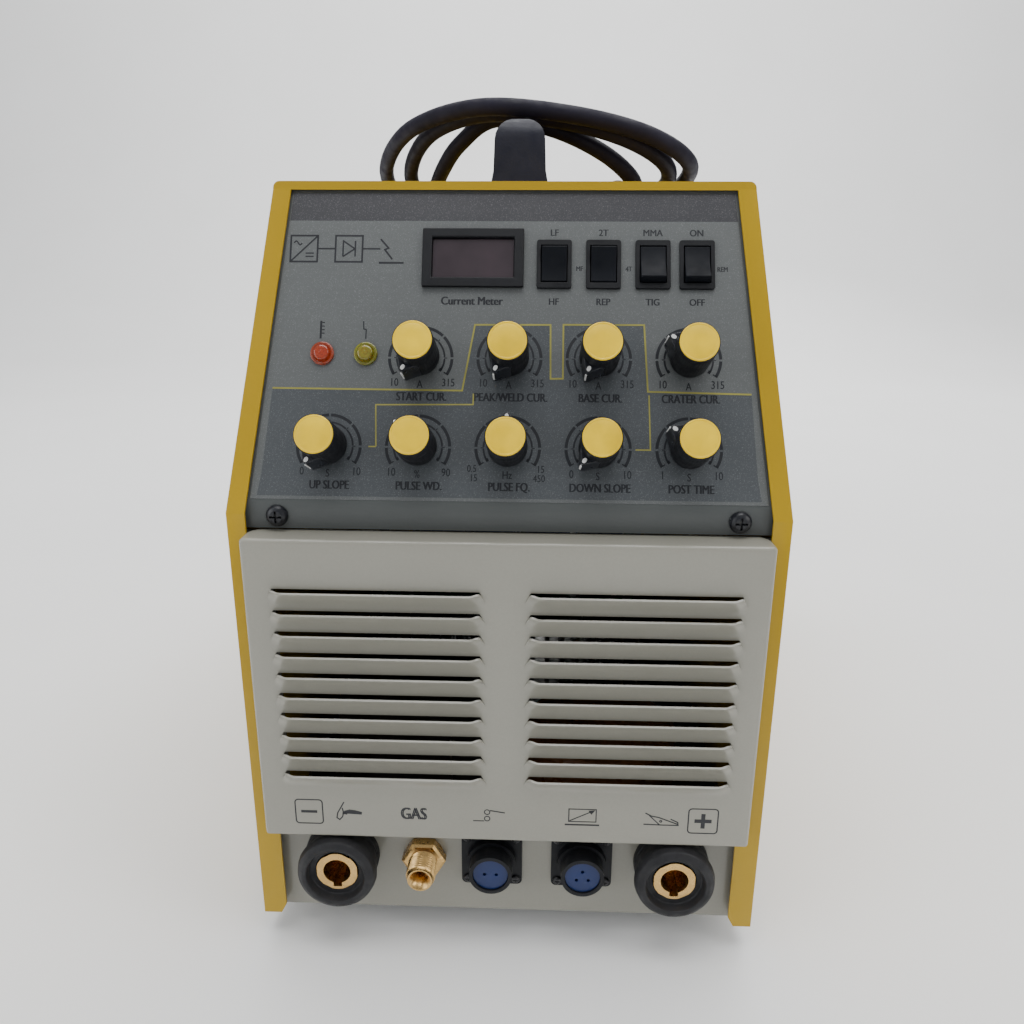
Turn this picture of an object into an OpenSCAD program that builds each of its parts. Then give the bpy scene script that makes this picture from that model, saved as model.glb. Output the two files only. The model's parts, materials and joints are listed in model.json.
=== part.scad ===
// TIG welding power source: a bent sheet cover over a chassis pan, a tilted control panel,
// a louvred front, welding sockets below it, and the power electronics inside.
// X runs to the right, Y to the rear and Z up; the front faces -Y and the feet stand on Z = 0.

/* [Case] */
// Width of the cover at the crease of its side walls
case_w = 240; // [220:1:280]
// Width of the cover at the top
top_w = 213; // [190:1:215]
// Length of the cover from its front edge to its rear edge
case_d = 480; // [440:5:560]
// Height of the cover without the feet
case_h = 345; // [335:1:380]
// Height of the crease above the lower edge of the cover
crease_h = 208; // [206:0.5:210]
// Lean of the control panel from upright, in degrees
tilt = 23.5; // [22:0.5:25]
// Thickness of the cover sheet
sheet = 1.2; // [1:0.1:1.6]
// Width of the folded front and rear edges of the cover
fold_w = 8; // [7:0.5:9]
// Width of the folded front edges beside the sockets
fold_low = 11.2; // [9.5:0.1:11.5]
// Height of the rubber feet
foot_h = 14; // [10:1:20]

/* [Control panel] */
// Distance between two dials
dial_pitch = 38.6; // [37:0.1:39]
// Diameter of a dial knob
knob_d = 17; // [14:0.5:18]
// Height of a knob top above the panel
knob_h = 26; // [20:0.5:30]
// Width of a rocker switch frame
rocker_w = 15.2; // [15:0.1:16]
// Length of a rocker switch frame
rocker_l = 22; // [21.5:0.1:23]
// Swing of a rocker from its middle to one end, in degrees
rocker_swing = 12; // [10:0.5:12]

/* [Louvred front] */
// How far the louvred front stands ahead of the cover
louver_out = 9; // [8:0.5:12]
// Number of louvres in each column
louver_rows = 10; // [6:1:10]
// Distance between two louvres
louver_pitch = 9.95; // [9.5:0.05:10]
// Length of one louvre
louver_l = 89; // [70:1:90]

/* [Sockets] */
// Distance of each welding socket from the middle
socket_x = 80; // [76:1:84]
// Height of the socket line above the lower edge of the cover
socket_h = 32.5; // [31:0.5:35]
// Bore of a welding socket
socket_bore = 13; // [9:0.5:13.5]
// Outer diameter of the gas outlet thread
gas_d = 14; // [12:0.5:16]

/* [Handle] */
// Length of the carrying handle
handle_l = 190; // [170:5:220]
// Height of the handle above the case
handle_h = 41; // [38:1:50]
// Width of the handle at its base
handle_w = 34; // [30:1:40]

/* [Power lead] */
// Outer diameter of the power lead
lead_d = 10; // [9:0.5:11]

/* [Hidden] */
$fn = 48;
EPS = 0.01;

// The origin is the middle of the foot plane, so the case is moved back by these two reaches.
front_reach = 13;      // gas outlet ahead of the cover's front edge
rear_reach = 30;       // gas inlet behind the cover's rear edge
case_y = -(case_d + front_reach + rear_reach) / 2 + front_reach;

z_low = foot_h;
z_crease = foot_h + crease_h;
z_top = foot_h + case_h;
half_w = case_w / 2;
lean = atan((case_w - top_w) / 2 / (case_h - crease_h));
bend_r = 3;            // outer radius of the cover's top bends
lip_h = 3.6;           // height of the folded edge along the top

// Control panel: an upright strip at the bottom, then the tilted face.
panel_t = 1.5;
panel_y = 4;
panel_z0 = z_low + 200.5;
panel_z1 = z_low + 212.5;
panel_z2 = z_top - sheet - 0.6;
panel_inset = 4;
foil_t = 0.3;
foil_inset = 9;
dial_row_low = 24.3;
dial_row_high = 63.7;
// Column, row and pointer angle of each dial; the angle is clockwise from straight up.
DIALS = [[-1, 1, -150], [0, 1, -150], [1, 1, -150], [2, 1, -60],
    [-2, 0, -150], [-1, 0, -45], [0, 0, 0], [1, 0, -140], [2, 0, -55]];
knob_gap = 2.4;        // between the panel and the knob
cap_t = 1.4;
cap_d = knob_d - 1;
pointer_r = 12.2;
pointer_h = 16.6;
shaft_d = 6;
shaft_len = 11;        // length of shaft behind the panel face
ROCKER_X = [18.8, 40.3, 61.8, 80.9];
rocker_s = 106;
rocker_in_w = 11.6;
rocker_in_l = 16.8;
rocker_r = 8.1;
meter = [44.6, 26.5];
meter_at = [-16.8, 108.6];
meter_view = [36, 18.2];
LAMPS = [-81.8, -62.7];
lamp_s = 65.2;
board_back = 12.1;     // control board behind the panel face

// Louvred front panel and the plate behind it.
louver_half = 112.5;
louver_z0 = z_low + 52.5;
louver_z1 = z_low + 199.5;
louver_t = 1.2;
louver_top = z_low + 177.4;
louver_x = 55.4;
hood_out = 3.5;
hood_h = 8.4;
plate_y = 6;
plate_t = 1.5;
plate_half = 117;

socket_z = z_low + socket_h;
socket_d = 38;
socket_front = -12.5;
insert_d = 20.2;       // hole in the socket body
insert_front = -8.5;
gas_x = -39.8;
PLUGS = [-6.8, 36.8];
plug_flange = 29.4;
plug_bolt = 11.6;      // screws from the plug's middle, sideways and up

// Rear panel and what it carries.
rear_y = case_d - sheet - 0.3;
rear_t = 1.5;
fan_size = 150;
fan_depth = 50;
fan_z = z_low + 112;
fan_hole = 142;
fan_bolt = 67;         // screws from the fan's middle, sideways and up
blade_count = 7;
breaker_x = -62;
breaker_z = z_low + 268;
breaker_w = 54;
lever_w = 46;
lever_swing = 40;      // from the middle to either end
inlet_x = 6;
inlet_z = z_low + 268;
gland_x = 64;
gland_z = z_low + 262;
gland_end = 520;       // rear end of the strain relief

handle_y = 160;        // front of the handle

// Screws and feet.
screw_d = 4;
SCREW_Y = [60, 240, 420];
side_screw_z = z_low + 10;
REAR_SCREWS = [z_low + 40, z_low + 200];
rear_screw_x = 105;
PANEL_SCREWS = [-99, 99];
panel_screw_z = z_low + 206.2;
FOOT_Y = [50, 430];
foot_x = 92;
foot_d = 30;
foot_screw = 5;

// Power lead: hand-laid points from the strain relief over the rear edge to the case top,
// then loose loops over the handle, whose radii, rise and middle are given turn by turn.
LEAD = [[gland_x, gland_end, gland_z], [64, 527, 276], [64, 534, 276], [64, 556, 281.9], [65, 572.1, 298],
    [66, 578, 320], [68, 577, 344], [70, 571, 366], [74, 556, 382], [80, 533, 389],
    [87, 492, 385], [95, 446, 373], [101.5, 398, 365.2], [103.5, 344, 364.8]];
LOOP_RX = [106.5, 93.5, 72, 60];
LOOP_RY = [110, 98, 85, 74];
LOOP_RISE = [47, 45.5, 43.5, 43.5];    // height of a turn over the handle
PEAK_LEFT = [110, 112, 106, 100];      // the rise fades out over these angles to each side
PEAK_RIGHT = [150, 150, 122, 120];
LEAD_TAIL = [[-41, 248, 395], [-55, 270, 381], [-64, 299, 369], [-68, 332, 364.6]];
loop_mid = [0, 311];
loop_steps = 12;        // points in one turn
loop_count = 28;        // points in all turns
loop_start = 15;        // angle at which the first turn begins
loop_peak = -105;       // angle at which a turn is highest
loop_fore = 70;         // how far the right end of a turn is drawn forward
loop_back = 8;          // how far the left end of a turn is pushed back
lead_sides = 10;

// Gas hose inside the case, from the outlet along the left wall to the valve.
HOSE = [[-39.8, 16.2, 46.5], [-39.8, 22, 46.5], [-39.8, 30, 46.5], [-62, 48, 44], [-98, 58, 42],
    [-107, 90, 40], [-107, 140, 40], [-107, 220, 60], [-106, 300, 150], [-102, 356, 236],
    [-76, 384, 270], [-34, 394, 280], [0, 398, 282], [6, 408, 282], [6, 416, 282], [6, 423.8, 282]];
valve_back = 424;
hose_d = 8;

// ---- functions ----
function unit(v) = v / norm(v);
function wrap(a) = a > 180 ? wrap(a - 360) : a < -180 ? wrap(a + 360) : a;
function between(v, k) = let (i = min(floor(k), len(v) - 2)) v[i] + (v[i + 1] - v[i]) * (k - i);
// Points of an arc of radius r that rounds the corner p between its neighbours a and b.
function corner(a, p, b, r, n = 6) =
    let (u = unit(a - p), v = unit(b - p), h = acos(u * v) / 2,
        c = p + unit(u + v) * r / sin(h), s = p + u * r / tan(h) - c,
        e = p + v * r / tan(h) - c, a0 = atan2(s.y, s.x), d = wrap(atan2(e.y, e.x) - a0))
    [for (k = [0:n]) c + r * [cos(a0 + d * k / n), sin(a0 + d * k / n)]];
// A closed outline with every corner rounded by the radius at the same place in rs.
function rounded(pts, rs, n = 6) = [for (i = [0:len(pts) - 1])
    let (m = len(pts)) for (q = rs[i] > 0
        ? corner(pts[(i + m - 1) % m], pts[i], pts[(i + 1) % m], rs[i], n) : [pts[i]]) q];
// Half width of the case at height z, less an inset square to the wall.
function half_at(z, inset = 0) = z <= z_crease ? half_w - inset
    : half_w - (z - z_crease) * tan(lean) - inset / cos(lean);
// Outline of the case across its length; the top has its own inset.
function section(inset, top, low = z_low, r = 0) =
    let (zc = z_crease - inset * tan(lean / 2), zt = z_top - top)
    rounded([[-half_w + inset, low], [half_w - inset, low], [half_w - inset, zc],
        [half_at(zt, inset), zt], [-half_at(zt, inset), zt], [-half_w + inset, zc]],
        [0, 0, 0, r, r, 0]);
// Front line of the cover at height z: upright, then leaning back, then upright at the lip.
function front_at(z) = max(0, (min(z, z_top - lip_h) - z_crease) * tan(tilt));
// One point of the power lead's loops, k turns after the first began.
function loop_point(k) =
    let (a = loop_start - 360 * k, d = wrap(a - loop_peak), c = cos(a),
        w = between(d > 0 ? PEAK_RIGHT : PEAK_LEFT, k),
        h = (1 + cos(180 * min(abs(d) / w, 1))) / 2)
    [loop_mid.x + between(LOOP_RX, k) * c,
        loop_mid.y + between(LOOP_RY, k) * sin(a) + (c > 0 ? -loop_fore : loop_back) * c * c,
        z_top + lead_d / 2 + 0.3 + between(LOOP_RISE, k) * h];
function lead_route() = concat(LEAD,
    [for (i = [0:loop_count]) loop_point(i / loop_steps)], LEAD_TAIL);
// A smooth line through the points of p, with n steps between two of them.
function smooth(p, n) = let (m = len(p) - 1) concat([for (i = [0:m - 1])
    let (a = p[max(i - 1, 0)], b = p[i], c = p[i + 1], d = p[min(i + 2, m)])
    for (k = [0:n - 1]) let (t = k / n)
        (2 * b + (c - a) * t + (2 * a - 5 * b + 4 * c - d) * t * t
            + (3 * b - a - 3 * c + d) * t * t * t) / 2], [p[m]]);
// Sideways directions carried along a line without twisting, and the rings around it.
function heading(p, i) = unit(p[min(i + 1, len(p) - 1)] - p[max(i - 1, 0)]);
function side_of(h, near) = unit(near - h * (h * near));
function sides(p, i = 0, last = [1, 0.1, 0]) = i == len(p) ? []
    : let (s = side_of(heading(p, i), last)) concat([s], sides(p, i + 1, s));
function rings(p, r, n) = let (s = sides(p)) [for (i = [0:len(p) - 1])
    let (h = heading(p, i), v = cross(h, s[i]))
    for (k = [0:n - 1]) p[i] + r * (s[i] * cos(360 * k / n) + v * sin(360 * k / n))];

// ---- shared shapes ----
module in_place() { translate([0, case_y, 0]) children(); }
// An outline in X and Z pushed from y0 to y1.
module along_y(pts, y0, y1) {
    translate([0, y1, 0]) rotate([90, 0, 0]) linear_extrude(y1 - y0) polygon(pts);
}
// An outline in Y and Z pushed from x0 to x1.
module along_x(pts, x0, x1) {
    translate([x0, 0, 0]) rotate([90, 0, 90]) linear_extrude(x1 - x0) polygon(pts);
}
module box(low, high) { translate(low) cube(high - low); }
// A round bar along Y.
module rod_y(x, y0, y1, z, d) { translate([x, y1, z]) rotate([90, 0, 0]) cylinder(d = d, h = y1 - y0); }
// Places children on the panel face: X to the right, Y up the slope, Z out of the panel.
module on_panel(x = 0, s = 0, h = 0) {
    in_place() translate([0, panel_y, panel_z1]) rotate([90 - tilt, 0, 0])
        translate([x, s, h]) children();
}
module tube(p, r, n) {
    m = len(p);
    polyhedron(points = rings(p, r, n), faces = concat([[for (k = [0:n - 1]) k]],
        [for (i = [0:m - 2]) for (k = [0:n - 1]) let (q = (k + 1) % n)
            [i * n + k, (i + 1) * n + k, (i + 1) * n + q, i * n + q]],
        [[for (k = [n - 1:-1:0]) (m - 1) * n + k]]), convexity = 10);
}
// A cross-recessed screw along -Z from its head: pan head above, shank below.
module screw(head_d, head_h, d, len) {
    difference() {
        union() {
            rotate_extrude() polygon([[0, 0], [head_d / 2, 0], [head_d / 2, head_h * 0.35],
                [head_d * 0.42, head_h * 0.75], [head_d * 0.28, head_h], [0, head_h]]);
            translate([0, 0, -len]) cylinder(d = d, h = len);
        }
        for (a = [0, 90]) rotate(a) translate([-head_d * 0.28, -head_d * 0.05, head_h * 0.45])
            cube([head_d * 0.56, head_d * 0.1, head_h]);
    }
}

// ---- case ----
module cover() {
    front = [[0, z_low - 1], [0, z_crease], [front_at(z_top), z_top - lip_h],
        [front_at(z_top), z_top + 1]];
    inner = [[sheet, z_low - 2], [sheet, z_crease - sheet * tan(tilt / 2)],
        [front_at(z_top) + sheet, z_top - lip_h - sheet * tan(tilt / 2)],
        [front_at(z_top) + sheet, z_top + 1]];
    color("goldenrod") in_place() difference() {
        intersection() {
            along_y(section(0, 0, z_low, bend_r), 0, case_d);
            along_x(concat(front, [[case_d, z_top + 1], [case_d, z_low - 1]]),
                -half_w, half_w);
        }
        intersection() {
            along_y(section(sheet, sheet, z_low - 1, bend_r - sheet), 0, case_d);
            along_x(concat(inner, [[case_d - sheet, z_top + 1], [case_d - sheet, z_low - 2]]),
                -half_w, half_w);
        }
        difference() {
            along_y(section(fold_w, lip_h, z_low - 1), -1, case_d + 1);
            // Wider front folds beside the socket plate, with a cut lower corner.
            for (s = [-1, 1]) along_y([for (p = [[fold_low, z_low + 5], [fold_low, z_crease - 40],
                [fold_w - 0.5, z_crease - 40], [fold_w - 0.5, z_low - 2]]) [s * (half_w - p.x), p.y]],
                -2, 20);
        }
        for (y = SCREW_Y) translate([-half_w - 1, y, side_screw_z]) rotate([0, 90, 0])
            cylinder(d = screw_d + 0.6, h = case_w + 2);
    }
}

module base_pan() {
    wall = half_w - sheet - 0.3;
    color("darkgray") in_place() difference() {
        union() {
            box([-wall, plate_y + plate_t + 0.2, z_low], [wall, rear_y - rear_t - 0.2, z_low + 1.5]);
            for (x = [-wall, wall - 1.5])
                box([x, 9, z_low], [x + 1.5, rear_y - rear_t - 0.2, z_low + 22]);
            box([-wall, rear_y - rear_t - 1.7, z_low], [wall, rear_y - rear_t - 0.2, z_low + 16]);
            box([-wall, plate_y + plate_t + 0.2, z_low], [wall, plate_y + plate_t + 1.7, z_low + 10]);
        }
        for (y = SCREW_Y) translate([-half_w, y, side_screw_z]) rotate([0, 90, 0])
            cylinder(d = screw_d + 0.2, h = case_w);
        for (x = [-1, 1], y = FOOT_Y) translate([x * foot_x, y, z_low - 1])
            cylinder(d = foot_screw + 0.4, h = 4);
    }
}

module feet() {
    color("black") in_place() for (x = [-1, 1], y = FOOT_Y) translate([x * foot_x, y, 0])
        difference() {
            rotate_extrude() polygon([[0, 0], [foot_d / 2 - 3, 0], [foot_d / 2 - 1, 1.5],
                [foot_d / 2, foot_h], [0, foot_h]]);
            translate([0, 0, -1]) cylinder(d = 10.4, h = 6);
            cylinder(d = foot_screw + 0.2, h = foot_h + 1);
        }
}

// Plate that carries the sockets at the bottom and the louvred front above them.
module front_plate() {
    top = panel_z0 - 2;
    color("cornsilk") in_place() difference() {
        along_y([[-plate_half + 5, z_low + 0.8], [plate_half - 5, z_low + 0.8],
            [plate_half, z_low + 6], [plate_half, top], [-plate_half, top],
            [-plate_half, z_low + 6]], plate_y, plate_y + plate_t);
        box([-104, 0, z_low + 72], [-4, 20, z_low + 190]);
        box([4, 0, z_low + 72], [104, 20, z_low + 190]);
        for (x = [-socket_x, socket_x]) rod_y(x, 0, 20, socket_z, 26);
        rod_y(gas_x, 0, 20, socket_z, gas_d + 0.2);
        for (x = PLUGS) {
            rod_y(x, 0, 20, socket_z, 20);
            for (i = [-1, 1], j = [-1, 1]) rod_y(x + plug_bolt * i, 0, 20, socket_z + plug_bolt * j, 2.7);
        }
    }
}

module hood(z) {
    y = -louver_out;
    outer = [[y + 0.4, z - hood_h], [y - hood_out * 0.9, z - 1.2], [y - hood_out, z],
        [y + 0.4, z]];
    inner = [[y + louver_t, z - hood_h + 2.4], [y - hood_out + louver_t * 0.9, z - 1],
        [y - hood_out + louver_t * 0.8, z + 1], [y + louver_t, z + 1]];
    for (side = [-1, 1]) difference() {
        along_x(outer, side * louver_x - louver_l / 2, side * louver_x + louver_l / 2);
        along_x(inner, side * louver_x - louver_l / 2 + louver_t,
            side * louver_x + louver_l / 2 - louver_t);
    }
}
module louver_panel() {
    y = -louver_out;
    t = louver_t;
    color("ivory") in_place() union() {
        difference() {
            box([-louver_half, y, louver_z0], [louver_half, -0.6, louver_z1]);
            box([-louver_half + t, y + t, louver_z0 + t], [louver_half - t, 1, louver_z1 - t]);
            for (k = [0:louver_rows - 1], side = [-1, 1]) let (z = louver_top - k * louver_pitch)
                box([side * louver_x - louver_l / 2 + t, y - 1, z - hood_h + 3],
                    [side * louver_x + louver_l / 2 - t, y + t + 1, z]);
        }
        box([-louver_half + 1.5, -1, louver_z1 - t], [louver_half - 1.5, plate_y - 0.1, louver_z1]);
        box([-louver_half + 1.5, -1, louver_z0], [louver_half - 1.5, plate_y - 0.1, louver_z0 + t]);
        for (k = [0:louver_rows - 1]) hood(louver_top - k * louver_pitch);
    }
}

// Sheet line of the control panel, d behind its face.
function panel_line(d) = [[panel_y + d, panel_z0], [panel_y + d, panel_z1 - d * tan(tilt / 2)],
    [panel_y + (panel_z2 - panel_z1) * tan(tilt) + d / cos(tilt), panel_z2]];
module panel_holes() {
    for (d = DIALS) on_panel(d.x * dial_pitch, d.y == 1 ? dial_row_high : dial_row_low, -5)
        cylinder(d = 7.4, h = 10);
    for (x = ROCKER_X) on_panel(x, rocker_s) cube([13.4, 19.4, 10], center = true);
    on_panel(meter_at.x, meter_at.y) cube([meter.x - 2, meter.y - 2, 10], center = true);
    for (x = LAMPS) on_panel(x, lamp_s, -5) cylinder(d = 8, h = 10);
}
module control_panel() {
    color("slategray") difference() {
        in_place() intersection() {
            along_x(concat(panel_line(0), [for (i = [2:-1:0]) panel_line(panel_t)[i]]),
                -half_w, half_w);
            along_y(section(panel_inset, sheet + 0.5), 0, case_d);
        }
        panel_holes();
        in_place() for (x = PANEL_SCREWS) rod_y(x, 0, 20, panel_screw_z, 4.2);
    }
}

// Printed foil on the tilted face.
module panel_overlay() {
    color("silver") difference() {
        intersection() {
            on_panel(0, 0) box([-half_w, 1, 0], [half_w, 139, foil_t]);
            in_place() along_y(section(foil_inset, 5), 0, case_d);
        }
        panel_holes();
    }
}

module rear_panel() {
    color("ivory") in_place() difference() {
        along_y(section(panel_inset, sheet + 0.6, z_low + 0.8), rear_y - rear_t, rear_y);
        rod_y(0, 400, 500, fan_z, fan_hole);
        for (i = [-1, 1], j = [-1, 1])
            rod_y(i * fan_bolt, 400, 500, fan_z + j * fan_bolt, 4.4);
        box([breaker_x - breaker_w / 2, 470, breaker_z - 22.5],
            [breaker_x + breaker_w / 2, 490, breaker_z + 22.5]);
        rod_y(inlet_x, 400, 500, inlet_z, 12.4);
        rod_y(gland_x, 400, 500, gland_z, 16.4);
        for (x = [-rear_screw_x, rear_screw_x], z = REAR_SCREWS) rod_y(x, 400, 500, z, 4.2);
    }
}

module handle() {
    y0 = handle_y;
    y1 = handle_y + handle_l;
    top = z_top + handle_h;
    grip = 15;
    end = rounded([[-handle_w / 2, z_top], [handle_w / 2, z_top], [handle_w / 2 - 2.5, z_top + 13],
        [handle_w / 2 - 3.5, top], [-handle_w / 2 + 3.5, top], [-handle_w / 2 + 2.5, z_top + 13]],
        [0, 0, 8, 12, 12, 8]);
    color("midnightblue") in_place() intersection() {
        along_y(end, y0 - 1, y1 + 1);
        difference() {
            along_x(rounded([[y0, z_top], [y1, z_top], [y1 - 5, top], [y0 + 5, top]],
                [0, 0, 12, 12]), -half_w, half_w);
            along_x(rounded([[y0 + 30, z_top - 1], [y1 - 30, z_top - 1],
                [y1 - 34, top - grip], [y0 + 34, top - grip]], [0, 0, 9, 9]), -half_w, half_w);
        }
    }
}

// ---- fasteners ----
module panel_screws() {
    color("black") in_place() for (x = PANEL_SCREWS) translate([x, panel_y, panel_screw_z])
        rotate([90, 0, 0]) screw(9.5, 3.2, 4, 8);
}
module case_screws() {
    color("silver") in_place() {
        for (x = [-1, 1], y = SCREW_Y) translate([x * half_w, y, side_screw_z])
            rotate([0, x * 90, 0]) screw(8, 2.6, screw_d, 8);
        for (x = [-1, 1], z = REAR_SCREWS)
            translate([x * rear_screw_x, rear_y, z]) rotate([-90, 0, 0]) screw(8, 2.6, screw_d, 8);
        for (x = [-1, 1], z = [-1, 1]) translate([x * fan_bolt, rear_y + 1.8, fan_z + z * fan_bolt])
            rotate([-90, 0, 0]) screw(8, 2.6, screw_d, 12);
    }
}
module connector_screws() {
    color("dimgray") in_place() for (x = PLUGS, i = [-1, 1], j = [-1, 1])
        translate([x + plug_bolt * i, plate_y - 2, socket_z + plug_bolt * j])
            rotate([90, 0, 0]) screw(4.4, 1.4, 2.5, 8);
}

// ---- sockets on the front plate ----
module socket_bodies() {
    r = socket_d / 2;
    color("black") in_place() for (x = [-socket_x, socket_x])
        translate([x, 0, socket_z]) rotate([90, 0, 0]) difference() {
            rotate_extrude() polygon([[0, -plate_y - plate_t - 12], [12.8, -plate_y - plate_t - 12],
                [12.8, -plate_y], [r - 1, -plate_y], [r - 1, -plate_y + 3.5], [r - 1.8, -plate_y + 4.5],
                [r, -socket_front - 5], [r - 0.8, -socket_front - 1.5], [r - 3, -socket_front],
                [r - 5, -socket_front], [r - 6, -insert_front - 0.5], [0, -insert_front - 0.5]]);
            translate([0, 0, -40]) cylinder(d = insert_d, h = 80);
        }
}
module socket_inserts() {
    color("goldenrod") in_place() for (x = [-socket_x, socket_x])
        translate([x, 0, socket_z]) rotate([90, 0, 0]) difference() {
            union() {
                translate([0, 0, -plate_y - 30])
                    cylinder(d = insert_d - 0.2, h = plate_y + 30 - insert_front - 4);
                translate([0, 0, -insert_front - 5]) intersection() {
                    cylinder(d = insert_d - 0.2, h = 5);
                    rotate(30) cylinder(d = 22.4, h = 5, $fn = 6);
                }
            }
            translate([0, 0, -plate_y - 14]) cylinder(d = socket_bore, h = 60);
            translate([-2, -socket_bore / 2 - 2, -plate_y - 4]) cube([4, 4, 60]);
        }
}
module gas_outlet() {
    tip = plate_y - 19;
    color("goldenrod") in_place() translate([gas_x, 0, socket_z]) rotate([90, 0, 0]) difference() {
        union() {
            translate([0, 0, -plate_y]) cylinder(d = 21.4, h = 6, $fn = 6);
            translate([0, 0, -16]) cylinder(d = gas_d, h = 16 - tip - 1);
            translate([0, 0, -tip - 1]) rotate_extrude()
                polygon([[0, 0], [gas_d / 2, 0], [gas_d / 2 - 1, 1], [0, 1]]);
        }
        translate([0, 0, -30]) cylinder(d = 4, h = 60);
        translate([0, 0, -tip - 4]) rotate_extrude() polygon([[0, 0], [2, 0], [5.4, 4.1], [0, 4.1]]);
    }
}
module connector_shells() {
    f = plug_flange / 2;
    flange = rounded([[-f, -f], [f, -f], [f, f], [-f, f]], [2.5, 2.5, 2.5, 2.5]);
    color("black") in_place() for (x = PLUGS) translate([x, 0, socket_z]) rotate([90, 0, 0])
        difference() {
            union() {
                translate([0, 0, -plate_y]) linear_extrude(2) polygon(flange);
                translate([0, 0, -plate_y - 14]) cylinder(d = 19.6, h = 14);
                translate([0, 0, -plate_y]) cylinder(d = 23.5, h = 6);
                translate([0, 0, -plate_y]) cylinder(d = 20.4, h = 14.5);
            }
            translate([0, 0, -plate_y - 20]) cylinder(d = 16.8, h = 50);
            for (i = [-1, 1], j = [-1, 1]) translate([plug_bolt * i, plug_bolt * j, -20])
                cylinder(d = 2.7, h = 30);
        }
}
module connector_inserts() {
    pins = [[[-2.8, 0], [2.8, 0]], [[-2.8, -1.8], [2.8, -1.8], [0, 2.8]]];
    color("royalblue") in_place() for (k = [0, 1]) translate([PLUGS[k], 0, socket_z])
        rotate([90, 0, 0]) difference() {
            translate([0, 0, -plate_y - 14]) cylinder(d = 16.6, h = 27.5);
            for (p = pins[k]) translate([p.x, p.y, 0]) cylinder(d = 1.6, h = 20);
        }
}

// ---- dials, switches, meter and lamps ----
module at_dial(i) {
    on_panel(DIALS[i].x * dial_pitch, DIALS[i].y == 1 ? dial_row_high : dial_row_low)
        rotate(-DIALS[i].z) children();
}
module knob(i) {
    r = knob_d / 2;
    color("black") at_dial(i) union() {
        translate([0, 0, knob_gap]) rotate_extrude() polygon([[0, 0], [r - 0.3, 0], [r, 1],
            [r, knob_h - knob_gap - 0.9], [r - 0.5, knob_h - knob_gap - 0.4],
            [cap_d / 2 + 0.1, knob_h - knob_gap - 0.4],
            [cap_d / 2 + 0.1, knob_h - knob_gap - cap_t], [0, knob_h - knob_gap - cap_t]]);
        translate([0, 0, knob_gap]) linear_extrude(pointer_h - knob_gap)
            polygon([[-6, 3], [6, 3], [5.2, 6.2], [0.7, pointer_r], [-0.7, pointer_r], [-5.2, 6.2]]);
        translate([0, 0, -shaft_len]) cylinder(d = shaft_d, h = shaft_len + knob_gap + 1);
    }
}
module cap(i) {
    r = cap_d / 2;
    color("gold") at_dial(i) translate([0, 0, knob_h - cap_t]) rotate_extrude()
        polygon([[0, 0], [r, 0], [r, cap_t - 0.4], [r - 0.4, cap_t], [0, cap_t]]);
}
module potentiometers() {
    color("silver") for (i = [0:len(DIALS) - 1]) at_dial(i) difference() {
        union() {
            translate([0, 0, -panel_t - 10.5]) cylinder(d = 16, h = 10.3);
            translate([0, 0, -panel_t - 1]) cylinder(d = 7, h = panel_t + 3);
            translate([0, 0, foil_t]) cylinder(d = 11.5, h = 1.6, $fn = 6);
        }
        translate([0, 0, -shaft_len - 1]) cylinder(d = shaft_d + 0.1, h = 30);
    }
}
module rocker(i, turn) {
    a = 23.85;
    profile = concat([[0, 1.7]], [for (k = [0:8]) rocker_r * [cos(a - k * 9), sin(a - k * 9)]],
        [for (k = [8:-1:0]) rocker_r * [-cos(a - k * 9), sin(a - k * 9)]]);
    color("black") on_panel(ROCKER_X[i], rocker_s, foil_t) rotate([turn, 0, 0])
        translate([-5.5, 0, 0]) rotate([90, 0, 90]) linear_extrude(11) polygon(profile);
}
module rocker_frames() {
    w = rocker_w / 2;
    l = rocker_l / 2;
    rim = rounded([[-w, -l], [w, -l], [w, l], [-w, l]], [1, 1, 1, 1], 3);
    color("black") for (x = ROCKER_X) on_panel(x, rocker_s, foil_t) difference() {
        union() {
            linear_extrude(1.6) polygon(rim);
            box([-6.5, -9.5, -13], [6.5, 9.5, 0.5]);
        }
        box([-rocker_in_w / 2, -rocker_in_l / 2, 0], [rocker_in_w / 2, rocker_in_l / 2, 5]);
        translate([-rocker_in_w / 2, 0, 0]) rotate([0, 90, 0]) cylinder(r = rocker_r + 0.3, h = rocker_in_w);
    }
}
module meter_bezel() {
    v = meter_view / 2;
    color("black") on_panel(meter_at.x, meter_at.y, foil_t) difference() {
        union() {
            box([-meter.x / 2, -meter.y / 2, 0], [meter.x / 2, meter.y / 2, 2.4]);
            box([-meter.x / 2 + 1.2, -meter.y / 2 + 1.2, -18], [meter.x / 2 - 1.2, meter.y / 2 - 1.2, 0.5]);
        }
        box([-v.x, -v.y, -16], [v.x, v.y, 5]);
    }
}
module meter_window() {
    v = meter_view / 2;
    color("dimgray") on_panel(meter_at.x, meter_at.y, foil_t)
        box([-v.x + 0.1, -v.y + 0.1, -1.6], [v.x - 0.1, v.y - 0.1, 0.4]);
}
module lamp(x) {
    on_panel(x, lamp_s) rotate_extrude() polygon([[0, -12], [3.8, -12], [3.8, foil_t],
        [5.2, foil_t], [5.2, 1.1], [4.9, 1.5], [3.7, 1.7], [3.5, 2.6], [2.8, 3.3], [0, 3.6]]);
}
module heat_lamp() { color("orangered") lamp(LAMPS[0]); }
module power_lamp() { color("yellowgreen") lamp(LAMPS[1]); }
module control_board() {
    color("darkgreen") on_panel(0, 0, -board_back - 1.6) difference() {
        box([-90, 8, 0], [92, 84, 1.6]);
        for (c = [[-86, 12], [88, 12], [-86, 80], [88, 80]])
            translate([c.x, c.y, -1]) cylinder(d = 3.4, h = 4);
    }
}

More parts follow.
